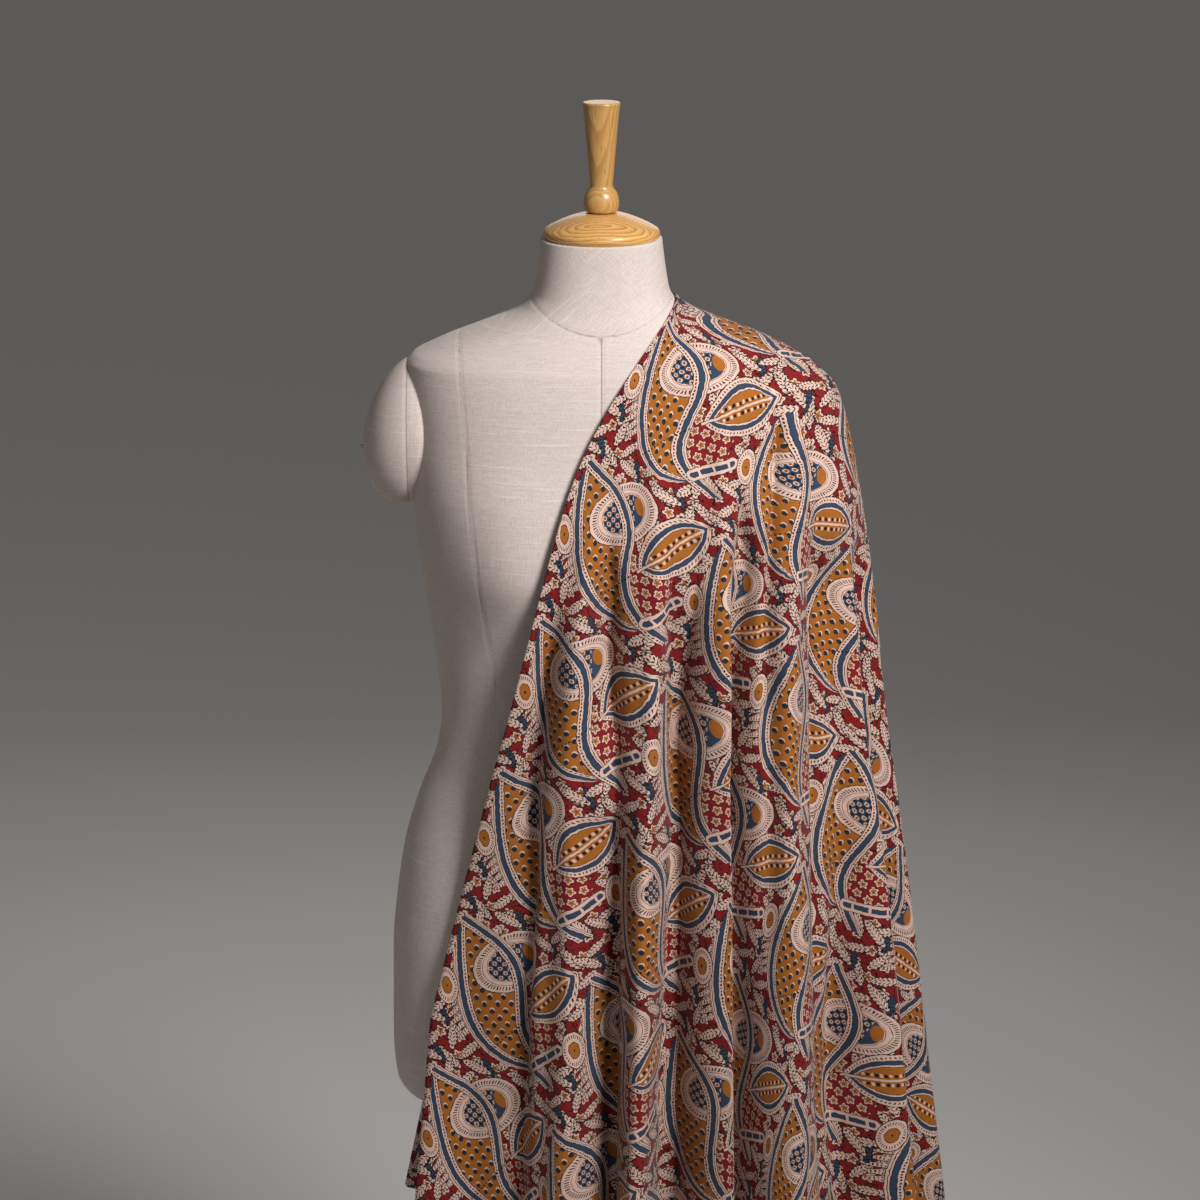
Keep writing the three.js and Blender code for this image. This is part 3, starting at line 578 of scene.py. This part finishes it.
def build_print():
    """The printed cotton: layers laid over one another, each a formula in the flat cloth's coordinates."""
    material, net, shader = new_material("printed_cotton")
    flat = net.node("ShaderNodeUVMap", uv_map="flat").outputs[0]
    wobble = net.node("ShaderNodeTexNoise")
    net.fill(wobble, Vector=flat, Scale=SHAKE_SCALE, Detail=SHAKE_DETAIL)
    shaken = net.node("ShaderNodeVectorMath", operation="MULTIPLY_ADD")
    for socket, value in zip(shaken.inputs, (wobble.outputs["Color"], (SHAKE_REACH, SHAKE_REACH, 0), flat)):
        net.put(socket, value)
    split = net.node("ShaderNodeSeparateXYZ")
    net.fill(split, Vector=shaken.outputs[0])
    across = net.mad(split.outputs[0], 1 / MM, RING_X - RING_ACROSS)
    along = net.mad(split.outputs[1], 1 / MM, RING_Y - RING_ALONG)

    # Madder with ink specks, small flowers and ferns in tiles that divide the repeat
    colour = net.mix(net.more(net.noise(flat, SPECK_SCALE, detail=3), SPECK_FROM), MADDER, INK)
    colour = blossoms(net, colour, across, along, REPEAT / GROUND_TILES, GROUND_FLOWER)
    for row in FERNS:
        colour = fern(net, colour, across, along, row)

    # The motif's own frame, from the middle of the ring
    mx, my = turned_by(net, net.wrap(across, REPEAT), net.wrap(along, REPEAT), RING_X, RING_Y, -MOTIF_TURN)
    t, down, left, right = paisley_edges(net, mx, my)
    whole = window(net, t, *WHOLE)
    colour = fringe(net, colour, left, down, t)
    colour = pocket(net, colour, mx, my, right)
    colour = dotted_field(net, colour, mx, my, net.mul(net.more(net.low(left, right), 0.0), whole))
    colour = stripes(net, colour, left, whole, down)
    colour = ring(net, colour, mx, my)
    colour = stripes(net, colour, right, window(net, t, *TAIL), down)
    colour = almond_leaf(net, colour, mx, my)
    colour = link(net, colour, mx, my)
    colour = oval_bloom(net, colour, across, along)

    # Dye that took unevenly, and the weave's relief
    patchy = net.noise(flat, PATCH_SCALE, PATCH_DETAIL, PATCH_ROUGH)
    value = net.mad(net.noise(flat, GRAIN_SCALE), DYE_GRAIN, net.mad(patchy, DYE_PATCH, DYE_LEAST))
    net.fill(shader, Base_Color=net.tone(value, colour), Roughness=0.82, Specular_IOR_Level=0.25,
             Sheen_Weight=0.08, Sheen_Roughness=0.5)
    warp, weft = (net.sine(net.mul(split.outputs[i], THREAD_WAVE)) for i in (0, 1))
    relief = net.add(net.mul(warp, weft), net.mul(net.noise(flat, FUZZ_SCALE), FUZZ))
    bump(net, shader, relief, strength=0.25, distance=0.0003)
    return material


# Linen, wood and steel

LINEN_TONES = [(0.0, srgb(160, 146, 138)), (0.42, srgb(192, 180, 173)), (0.56, srgb(206, 195, 189)),
               (1.0, srgb(228, 219, 214))]
SLUB_PALE, SOIL, SEAM_DARK = srgb(236, 228, 222), srgb(184, 168, 158), srgb(96, 84, 74)
NECK_BIAS, NECK_BIAS_ABOVE, NECK_BIAS_ABOUT = math.radians(40), 1.4535, (0, 0, 1.5)
ROW_GRAIN, UPRIGHT_GRAIN, SLUB_GRAIN = (70, 70, 1500), (1300, 1300, 50), (14, 14, 520)
ROW_SHARE, UPRIGHT_SHARE, SLUB_FROM, SLUB_RISE = 0.42, 0.58, 0.62, 3.0
SOIL_SCALE, SOIL_SHARE, SEAM_LINE, SEAM_SHARE, SEAM_PULL = 9, 0.18, 1.1, 0.6, 4.0
THREAD_RELIEF, SLUB_RELIEF, PULL_RELIEF = 0.9, 0.5, 1.4


def build_linen():
    """Threads by noises stretched along and across, turned to the bias round the neck, and sunk seams."""
    material, net, shader = new_material("linen")
    place = net.place()
    height = net.node("ShaderNodeSeparateXYZ")
    net.fill(height, Vector=place)
    askew = net.node("ShaderNodeVectorRotate", rotation_type="Y_AXIS")
    bias = net.mul(net.more(height.outputs[2], NECK_BIAS_ABOVE), NECK_BIAS)
    net.fill(askew, Vector=place, Center=NECK_BIAS_ABOUT, Angle=bias)
    cloth = askew.outputs[0]
    rows = net.noise(net.stretch(cloth, ROW_GRAIN), detail=3, rough=0.6)
    uprights = net.noise(net.stretch(cloth, UPRIGHT_GRAIN), detail=3, rough=0.6)
    slubs = net.noise(net.stretch(cloth, SLUB_GRAIN))
    thread = net.add(net.mul(rows, ROW_SHARE), net.mul(uprights, UPRIGHT_SHARE))
    base = net.ramp(thread, LINEN_TONES, steps=False)
    base = net.mix(net.share(net.sub(slubs, SLUB_FROM), SLUB_RISE), base, SLUB_PALE)
    base = net.mix(net.mul(net.noise(place, SOIL_SCALE, detail=3), SOIL_SHARE), base, SOIL)
    seam = net.node("ShaderNodeAttribute", attribute_name="seam").outputs["Fac"]
    groove = net.sub(1.0, net.share(seam, 1 / SEAM_LINE))
    base = net.mix(net.mul(groove, SEAM_SHARE), base, SEAM_DARK)
    net.fill(shader, Base_Color=base, Roughness=0.9, Specular_IOR_Level=0.2, Sheen_Weight=0.1)
    pull = net.mul(net.share(seam, 1 / SEAM_PULL), PULL_RELIEF)
    relief = net.add(net.mul(thread, THREAD_RELIEF), net.add(net.mul(slubs, SLUB_RELIEF), pull))
    bump(net, shader, relief, strength=0.5, distance=0.0006)
    return material


YEAR_TONES = [(0.0, srgb(226, 180, 112)), (0.45, srgb(214, 162, 92)), (0.82, srgb(176, 116, 58)),
              (0.92, srgb(190, 132, 70)), (1.0, srgb(226, 180, 112))]
WOOD_MEAN, WOOD_FLECK = srgb(214, 166, 98), srgb(150, 96, 50)
DRIFT_GRAIN, DRIFT, FLECK_GRAIN, FLECK_FROM, FLECK_RISE = (0.05,) * 3, 2.2, (0.9,) * 3, 0.58, 4.0
GLOSS_LEAST, GLOSS_YEAR = 0.34, 0.08


def wood_figure():
    """A node group of year rings: shells about a stretched middle, that wander with a soft noise."""
    group = bpy.data.node_groups.new("wood_figure", "ShaderNodeTree")
    for name, kind in (("Place", "Vector"), ("Stretch", "Vector"), ("Shift", "Vector"), ("Years", "Float"),
                       ("Shade", "Float"), ("Figure", "Float")):
        group.interface.new_socket(name=name, in_out="INPUT", socket_type="NodeSocket" + kind)
    for name, kind in (("Colour", "Color"), ("Year", "Float"), ("Fleck", "Float")):
        group.interface.new_socket(name=name, in_out="OUTPUT", socket_type="NodeSocket" + kind)
    net = Net(group)
    given = net.node("NodeGroupInput").outputs
    shells = net.stretch(given["Place"], given["Stretch"], given["Shift"])
    far = net.node("ShaderNodeVectorMath", operation="LENGTH")
    net.fill(far, Vector=shells)
    drift = net.mul(net.noise(net.stretch(shells, DRIFT_GRAIN), detail=3), DRIFT)
    year = net.math("FRACT", net.mad(far.outputs["Value"], given["Years"], drift))
    fleck = net.noise(net.stretch(shells, FLECK_GRAIN))
    base = net.mix(given["Figure"], WOOD_MEAN, net.ramp(year, YEAR_TONES, steps=False))
    base = net.mix(net.share(net.sub(fleck, FLECK_FROM), FLECK_RISE), base, WOOD_FLECK)
    net.fill(net.node("NodeGroupOutput"), Colour=net.tone(given["Shade"], base), Year=year, Fleck=fleck)
    return group


def build_wood(name, figure, scale, middle, period, shade, strength):
    """Varnished wood; scale, middle and period, in millimetres, place the shells of its year rings."""
    material, net, shader = new_material(name)
    rings = net.node("ShaderNodeGroup", node_tree=figure)
    net.fill(rings, Place=net.place(), Stretch=[k / MM for k in scale], Years=1 / period,
             Shift=[-k * m for k, m in zip(scale, middle)], Shade=shade, Figure=strength)
    made = rings.outputs
    net.fill(shader, Base_Color=made["Colour"], Roughness=net.mad(made["Year"], GLOSS_YEAR, GLOSS_LEAST),
             Coat_Weight=0.3, Coat_Roughness=0.16)
    bump(net, shader, made["Fleck"], strength=0.08, distance=0.0003)
    return material


STEEL_DARK, STEEL_PALE, STEEL_SCALE, SCRATCH_SCALE = srgb(190, 190, 192), srgb(225, 225, 228), 900, 1500
POLISHED, SCRATCHED = 0.18, 0.2


def build_steel():
    """Bright metal whose colour and roughness change a little with fine noises."""
    material, net, shader = new_material("steel")
    place = net.place()
    net.fill(shader, Base_Color=net.mix(net.noise(place, STEEL_SCALE), STEEL_DARK, STEEL_PALE), Metallic=1.0,
             Roughness=net.mad(net.noise(place, SCRATCH_SCALE), SCRATCHED, POLISHED))
    return material


PRINT = build_print()
LINEN = build_linen()
FIGURE = wood_figure()
WOOD = build_wood("turned_wood", FIGURE, (1, 1, 0.04), (9, 38, 1600), 3.0, shade=0.76, strength=0.5)
CAP_WOOD = build_wood("cap_wood", FIGURE, (0.32, 1, 1.6), (-4, -37, 1548), 4.6, shade=0.95, strength=0.8)
STEEL = build_steel()


# The covered shell

AROUND = 168
NECK_RINGS, BODY_RINGS, END_RINGS, BODY_FROM, BODY_TO = 90, 70, 40, 1400, 740
PRINCESS_Z, PRINCESS_X = (692, 1078, 1240, 1300, 1340, 1440), (118, 92, 116, 122, 124, 132)
CENTRE_TOP, PRINCESS_TOP, SIDE_TOP = 1450, 1446, 1285
NECK_SEAM_HALF, NECK_SEAM_WIDE, NECK_SEAM_SOFT = 70, 80, 0.9
NECK_SEAM_FRONT, NECK_SEAM_RISE, NECK_SEAM_BACK, NECK_SEAM_FALL = 1452, 30, 1478, 4


def seam_distance(x, y, z):
    """Millimetres to the nearest seam: centre, princess, neck base (a parabola) or side."""
    centre = np.where(z < CENTRE_TOP, np.abs(x), NO_SEAM)
    princess = np.abs(np.abs(x) - np.interp(z, PRINCESS_Z, PRINCESS_X))
    princess = np.where(z < PRINCESS_TOP, princess, NO_SEAM)
    out = (x / NECK_SEAM_HALF) ** 2
    line = np.where(y < 0, NECK_SEAM_FRONT + NECK_SEAM_RISE * out, NECK_SEAM_BACK - NECK_SEAM_FALL * out)
    neck = np.where(np.abs(x) < NECK_SEAM_WIDE, np.abs(z - line), NO_SEAM) * NECK_SEAM_SOFT
    side = np.where(z < SIDE_TOP, np.abs(y), NO_SEAM)
    return np.minimum(np.minimum(centre, princess), np.minimum(neck, side))


def make_torso():
    """Rings of the shell's sections from the neck to the lower end, closed by flat ends."""
    z = np.concatenate((np.linspace(NECK_TOP, BODY_FROM, NECK_RINGS, endpoint=False),
                        np.linspace(BODY_FROM, BODY_TO, BODY_RINGS, endpoint=False),
                        np.linspace(BODY_TO, TORSO_BOTTOM, END_RINGS)))
    zz, turn = np.meshgrid(z, np.linspace(0, 2 * np.pi, AROUND, endpoint=False), indexing="ij")
    x, y = torso_point(zz, turn)
    shape = closed_rings(np.stack((x, y, zz), -1), (0, 0, NECK_TOP), (0, 0, TORSO_BOTTOM), True)
    mesh_piece("torso_cover", "torso", shape, LINEN, seam=seam_distance(x, y, zz))


ARM_AROUND, ARM_RINGS, ARM_FIRST = 72, 44, 0.02
ARM_INNER = (-0.37, -0.2, 0.0)          # rings inside the armhole, as shares of the arm's length


def make_arm(name, node, hand):
    """Ovals that shrink to the rounded tip: the radius falls as the root of 1 less a power of the length."""
    t = np.concatenate((ARM_INNER, np.sin(np.linspace(ARM_FIRST, np.pi / 2, ARM_RINGS))))[:-1]
    kept = np.clip(t, 0, 1)
    scale = np.sqrt(1 - kept ** ARM_ROUND)[:, None]
    middle = (ARM_ROOT_Z + (ARM_TIP_Z - ARM_ROOT_Z) * kept)[:, None]
    turn = np.linspace(0, 2 * np.pi, ARM_AROUND, endpoint=False)[None, :]
    along = (ARM_HOLE + (ARM_TIP - ARM_HOLE) * t)[:, None] + 0 * turn
    y, z = ARM_DEEP * scale * np.cos(turn), middle + ARM_HIGH * scale * np.sin(turn)
    shape = closed_rings(np.stack((hand * along, y, z), -1), (hand * ARM_ROOT, 0, ARM_ROOT_Z),
                         (hand * ARM_TIP, 0, ARM_TIP_Z), hand > 0)
    mesh_piece(name, node, shape, LINEN, seam=np.abs(along - ARM_HOLE))


# The cloth

def hull_size(z):
    """Half width and depths of the smooth hull: the shell's own, lifted, over the shoulder."""
    lifted = [soft_table(TORSO, k, z - LIFT) + LIFT for k in SECTION]
    lower = [soft_table(HULL, k, np.minimum(z, HULL[0, HEIGHT])) for k in SECTION]
    blend = smooth((BLEND_TOP - z) / (BLEND_TOP - HULL[0, HEIGHT]))
    return [a + (b - a) * blend for a, b in zip(lifted, lower)]


def edge_bearing(z):
    """Bearing of the front edge above the bust: straight from the apex but for its bow."""
    side = hull_size(z)[0]
    bust_side = hull_size(np.array(float(BUST_Z)))[0]
    c = math.cos(math.radians(CRESTS[0, 0]))
    reach = math.copysign(abs(c) ** (2 / POWER), c) * bust_side
    t = np.clip((APEX[2] - z) / (APEX[2] - BUST_Z), 0, 1)
    x = APEX[0] + (reach - APEX[0]) * t - EDGE_BOW * np.sin(np.pi * t)
    return np.arccos(np.sign(x) * np.clip(np.abs(x) / side, 0, 1) ** (POWER / 2))


def row_bearing(table, k, z):
    """Bearing of a crest or valley: above the bust its share of the edge's, below it by the table."""
    bust, waist, hips, low = (table[k, column] for column in BEARINGS)
    above = edge_bearing(z) * bust / CRESTS[0, 0]
    steps = [bust + (waist - bust) * (BUST_Z - z) / (BUST_Z - WAIST_Z),
             waist + (hips - waist) * (WAIST_Z - z) / (WAIST_Z - HIPS_Z),
             hips + (low - hips) * (HIPS_Z - z) / (HIPS_Z - LOW_Z)]
    below = np.select([z > WAIST_Z, z > HIPS_Z], steps[:2], steps[2])
    return np.where(z >= BUST_Z, above, np.radians(below))


def crest_flat(k, z):
    """A crest's angle on the flat cloth; over the shoulder all turn a little towards the side."""
    bust, waist, low = (CRESTS[k, column] for column in FLAT_ANGLES)
    upper = np.clip((BUST_Z - z) / (BUST_Z - WAIST_Z), 0, 1)
    lower = np.clip((WAIST_Z - z) / (WAIST_Z - LOW_Z), 0, 1)
    angle = np.radians(bust + (waist - bust) * upper + (low - waist) * lower)
    return angle + TOP_TURN * np.sin(2 * angle) * smooth((z - BUST_Z) / TOP_OVER)


def hull_point(bearing, z):
    """The hull at a bearing; on the open side it comes to rest nearer the shell below the bust."""
    x, y = section_point(*hull_size(z), bearing)
    settled = smooth((BUST_Z - z) / (BUST_Z - REST_FULL_Z)) * smooth((REST_FROM_X - x) / REST_OVER_X)
    rest = EDGE_REST * settled
    return x, np.where(y < 0, y + rest, y - rest)


def keep_off(x, y, z):
    """Moves points out of the shell's section, front or back, where they would lie inside it."""
    level = np.maximum(z, HIP_Z)
    side = soft_table(TORSO, HALF_WIDE, level) + KEEP_OFF
    front = soft_table(TORSO, TO_FRONT, level) + bust_proud(x, z)
    deep = np.where(y < 0, front, soft_table(TORSO, TO_BACK, level)) + KEEP_OFF
    inside = np.clip(1 - (np.abs(x) / side) ** POWER, 0, 1)
    least = deep * inside ** (1 / POWER)
    pushed = np.where(y > 0, 1, -1) * np.maximum(np.abs(y), least)
    return x, np.where((z < CLEAR_BELOW) | (z > FOLD_TOP), y, pushed)


def valley_depth(a, b, length, sink, drop):
    """Depth at which the ways down, of width a, and up, of width b, add to the flat length, or the sink."""
    down = (length + (a * a - b * b) / length) / 2
    slack = np.where(length > a + b, np.sqrt(np.maximum(0, down * down - a * a)), 0)
    sunk = SINK_SHALLOW + (1 - SINK_SHALLOW) * drop / SINK_FULL
    sunk = sunk * (1 + HEM_SINK * smooth((drop - HEM_FROM) / HEM_OVER))
    deepest = DEEPEST_ABOVE + (DEEPEST_BELOW - DEEPEST_ABOVE) * smooth((drop - DEEPEST_FROM) / DEEPEST_OVER)
    grown = smooth((FOLD_TOP - APEX[2] + drop) / (FOLD_TOP - FOLD_FULL))
    return np.minimum(np.minimum(slack, sink * sunk), deepest) * grown


def crease_depth(x, y, z):
    """Sink of the front's listed creases: bell curves about lines that wander a little."""
    total = np.zeros_like(x)
    for n, (high, mid, low, half, deep, start, end) in enumerate(CREASES):
        line = np.interp(z, (CREASE_LOW, CREASE_MID, CREASE_HIGH), (low, mid, high))
        line = line + WANDER * np.sin(z / WANDER_OVER + WANDER_APART * n)
        wide = half * (1 + SWELL * np.sin(z / SWELL_OVER + n))
        reach = smooth((start - z) / CREASE_FADE) * smooth((z - end) / CREASE_FADE)
        total = total + deep * reach * np.exp(-((x - line) / wide) ** 2)
    return np.where(y < 0, total, 0) * smooth(-y / CREASE_FRONT)


def fold_wave(k, within, z):
    """Share of the depth across a fold, a cosine; the main fold stays high, drops late and rises early."""
    leaning = np.where(k == LEAN_FOLD, smooth((LEAN_TOP - z) / LEAN_OVER), 0)
    down = np.clip(within, 0, 1) ** (1 + LEAN_FALL * leaning)
    up = np.clip(within - 1, 0, 1) ** (1 - LEAN_RISE * leaning)
    return np.where(within < 1, 0.5 - 0.5 * np.cos(np.pi * down), 0.5 + 0.5 * np.cos(np.pi * up))


def lean_shift(column, z):
    """Sideways shift of the main fold: its crest moves over the valley, the valley back under it."""
    past = column - 2 * LEAN_FOLD
    crest = LEAN_OUT * np.exp(-((past - LEAN_OUT_AT) / LEAN_OUT_WIDE) ** 2)
    valley = LEAN_IN * np.exp(-((past - LEAN_IN_AT) / LEAN_IN_WIDE) ** 2)
    return (crest - valley) * smooth((LEAN_TOP - z) / LEAN_OVER)


def cloth_surface(column, z):
    """Hull point at a bearing between crest and valley, sunk inwards by a cosine; also its flat angle."""
    k = np.minimum((column // 2).astype(int), len(VALLEYS) - 1)
    within = column - 2 * k
    drop = APEX[2] - z
    first, last = row_bearing(CRESTS, k, z), row_bearing(CRESTS, k + 1, z)
    middle = row_bearing(VALLEYS, k, z)
    (x0, y0), (x1, y1), (x2, y2) = (hull_point(bearing, z) for bearing in (first, middle, last))
    a, b = np.hypot(x1 - x0, y1 - y0), np.hypot(x2 - x1, y2 - y1)
    flat_first, flat_last = crest_flat(k, z), crest_flat(k + 1, z)
    depth = valley_depth(a, b, drop * HULL_SLANT * (flat_last - flat_first), VALLEYS[k, SINK], drop)
    down, up = np.hypot(a, depth), np.hypot(b, depth)
    flat_middle = flat_first + (flat_last - flat_first) * down / (down + up + TINY)
    before = within < 1
    t = np.where(before, within, within - 1)
    bearing = np.where(before, first, middle)
    bearing = bearing + (np.where(before, middle, last) - bearing) * t
    flat = np.where(before, flat_first, flat_middle)
    flat = flat + (np.where(before, flat_middle, flat_last) - flat) * t
    x, y = hull_point(bearing, z)
    inward = depth * fold_wave(k, within, z) + crease_depth(x, y, z)
    xa, ya = hull_point(bearing + NEAR_TURN, z)
    xb, yb = hull_point(bearing - NEAR_TURN, z)
    long = np.hypot(xa - xb, ya - yb) + TINY
    moved = x + lean_shift(column, z) + inward * (ya - yb) / long
    px, py = keep_off(moved, y - inward * (xa - xb) / long, z)
    return np.stack((px, py, z), -1), np.stack((x, y, z), -1), flat


def run_down(start, hull):
    """Length down each column of the hull from the apex."""
    steps = np.diff(np.concatenate((start, hull), 1), axis=1)
    return np.cumsum(np.linalg.norm(steps, axis=-1), 1)


def make_cloth():
    """A grid of columns from edge to edge and rows from the apex to the cut edge, with flat UVs."""
    columns = 2 * len(VALLEYS) * STEPS + 1
    column = np.arange(columns)[:, None] / STEPS
    drops = np.arange(DROP_STEP, APEX[2] - DROP_STEP, DROP_STEP)
    _, hull, flat = cloth_surface(column + 0 * drops, APEX[2] - drops + 0 * column)
    start = np.broadcast_to(APEX, (columns, 1, 3))
    run = run_down(start, hull)
    past = (run * np.sin(flat) > CLOTH_WIDE) | (run * np.abs(np.cos(flat)) > CLOTH_HALF)
    most = np.where(past.any(1), drops[np.argmax(past, 1)], drops[-1])
    rows = (np.arange(1, CLOTH_ROWS + 1) / CLOTH_ROWS) ** ROW_CROWD
    z = APEX[2] - most[:, None] * rows
    points, hull, flat = cloth_surface(column + 0 * z, z)
    run = run_down(start, hull)
    # From crest to crest the flat angle follows the length of the curve, so that the print isn't stretched
    hop = np.linalg.norm(np.diff(points, axis=0), axis=-1).reshape(-1, 2 * STEPS, CLOTH_ROWS)
    share = np.cumsum(hop, 1) / (hop.sum(1, keepdims=True) + TINY)
    ends = flat[::2 * STEPS]
    even = ends[:-1, None] + (ends[1:] - ends[:-1])[:, None] * share
    flat = np.concatenate((flat[:1], even.reshape(-1, CLOTH_ROWS)), 0)
    uv = np.stack((run * np.sin(flat), run * np.cos(flat)), -1) * MM
    apex = columns * CLOTH_ROWS
    all_points = np.vstack((points.reshape(-1, 3), APEX))
    all_uv = np.vstack((uv.reshape(-1, 2), (0, 0)))
    faces = grid_faces(columns, CLOTH_ROWS, False)[:, ::-1].tolist()
    faces += [(apex, c * CLOTH_ROWS, (c + 1) * CLOTH_ROWS) for c in range(columns - 1)]
    piece = mesh_piece("kalamkari_cloth", "cloth", (all_points, faces), PRINT, uv=all_uv)
    wall = piece.modifiers.new("thickness", "SOLIDIFY")
    wall.thickness = SKIN * MM
    wall.offset = 1.0


# Turned wood and the pin

TURNED = [      # name, node, material, profile of radius and height
    ("cap", "neck_cap", CAP_WOOD, [
        (0, 1532.3), (52, 1532.3), (53, 1532.4), (54.4, 1535), (54.5, 1538), (53.4, 1540.6),
        (49, 1543.5), (38, 1549), (26, 1553.6), (17, 1556), (0, 1556)]),
    ("handle", "finial", WOOD, [
        (0, 1556.3), (13.5, 1556.3), (15.4, 1558), (16.6, 1563), (16.5, 1568), (15, 1574),
        (11.8, 1578.4), (10.6, 1580.5), (10.8, 1584), (13.7, 1620), (16.9, 1654), (17.6, 1656.6),
        (17.2, 1658.3), (15.5, 1658.6), (0, 1658.6)]),
    ("post", "pole", WOOD, [
        (0, 50.3), (16, 50.3), (16, 50.5), (16, 371), (16, 691.5), (16, 691.7), (0, 691.7)]),
    ("foot", "base", WOOD, [
        (0, 0), (186, 0), (189, 1.2), (190, 5), (190, 18), (188, 23), (181, 27.5), (90, 29), (46, 31),
        (36, 35), (31, 49), (28, 50), (0, 50)]),
]
PIN_SIDES, PIN_RINGS, PIN_RADIUS, PIN_DOME, PIN_CLEAR = 32, 7, 3.4, 2.6, 0.3


def make_pin():
    """A small domed head turned about X, on the tip of the uncovered arm."""
    a = np.linspace(0, np.pi / 2, PIN_RINGS, endpoint=False)[:, None]
    turn = np.linspace(0, 2 * np.pi, PIN_SIDES, endpoint=False)[None, :]
    foot = -ARM_TIP - PIN_CLEAR
    radius = PIN_RADIUS * np.cos(a)
    rings = np.stack((foot - PIN_DOME * np.sin(a) + 0 * turn, radius * np.cos(turn),
                      ARM_TIP_Z + radius * np.sin(turn)), -1)
    shape = closed_rings(rings, (foot, 0, ARM_TIP_Z), (foot - PIN_DOME, 0, ARM_TIP_Z), False)
    mesh_piece("pin_head", "arm_pin", shape, STEEL)


make_torso()
make_arm("arm_cover_left", "arm_left", -1)
make_arm("arm_cover_right", "arm_right", 1)
make_cloth()
for row in TURNED:
    turned_piece(*row)
make_pin()


# Floor, light and camera

FLOOR_HALF, FLOOR_COLOUR, FLOOR_ROUGH = 150, (0.82, 0.81, 0.8, 1), 0.8
WORLD_COLOUR, WORLD_STRENGTH = (0.64, 0.61, 0.59, 1), 0.2
LIGHTS = [      # name, place, aim, size, watts, colour, spread in degrees
    ("key", (0.95, -1.35, 2.55), (0.0, -0.1, 1.15), (0.5, 0.6), 12, (1.0, 0.975, 0.96), 80),
    ("fill", (-2.6, -2.4, 1.5), (0, 0, 1.1), (1.6, 2.0), 5, (1.0, 0.96, 0.93), 180),
    ("back", (0.15, 2.9, 2.2), (0.05, 0, 1.1), (1.4, 1.4), 8, (1.0, 0.98, 0.96), 180),
]


def make_stage():
    """A plain pale floor."""
    mesh = bpy.data.meshes.new("floor")
    corners = [(FLOOR_HALF * x, FLOOR_HALF * y, 0) for x, y in ((-1, -1), (1, -1), (1, 1), (-1, 1))]
    mesh.from_pydata(corners, [], [(0, 1, 2, 3)])
    floor = bpy.data.objects.new("floor", mesh)
    bpy.context.scene.collection.objects.link(floor)
    material, net, shader = new_material("pale_floor")
    net.fill(shader, Base_Color=FLOOR_COLOUR, Roughness=FLOOR_ROUGH)
    mesh.materials.append(material)


def facing(place, aim):
    """Euler angles that turn -Z from place towards aim."""
    dx, dy, dz = (b - a for a, b in zip(place, aim))
    flat = math.hypot(dx, dy)
    return (math.atan2(flat, -dz), 0.0, math.atan2(dy, dx) - math.pi / 2)


def add_light(name, place, aim, size, power, colour, spread):
    """A rectangular soft light at a place, turned to its aim."""
    light = bpy.data.lights.new(name, "AREA")
    light.shape = "RECTANGLE"
    light.size, light.size_y = size
    light.energy = power
    light.color = colour
    light.spread = math.radians(spread)
    lamp = bpy.data.objects.new(name, light)
    bpy.context.scene.collection.objects.link(lamp)
    lamp.location = place
    lamp.rotation_euler = facing(place, aim)


make_stage()
for light_row in LIGHTS:
    add_light(*light_row)
world = bpy.data.worlds.new("studio")
world.use_nodes = True
background = world.node_tree.nodes["Background"]
background.inputs["Color"].default_value = WORLD_COLOUR
background.inputs["Strength"].default_value = WORLD_STRENGTH
scene = bpy.context.scene
scene.world = world
scene.view_settings.view_transform = "Standard"

camera_data = bpy.data.cameras.new("camera")
camera_data.sensor_width = SENSOR
camera_data.lens = SENSOR * CAMERA_AWAY / (PHOTO_PIXELS * PIXEL)
camera = bpy.data.objects.new("camera", camera_data)
scene.collection.objects.link(camera)
back, up = CAMERA_AWAY * math.cos(CAMERA_TILT), CAMERA_AWAY * math.sin(CAMERA_TILT)
camera.location = (CAMERA_X, -back, AIM_Z + up)
camera.rotation_euler = (math.pi / 2 - CAMERA_TILT, 0, 0)
scene.camera = camera
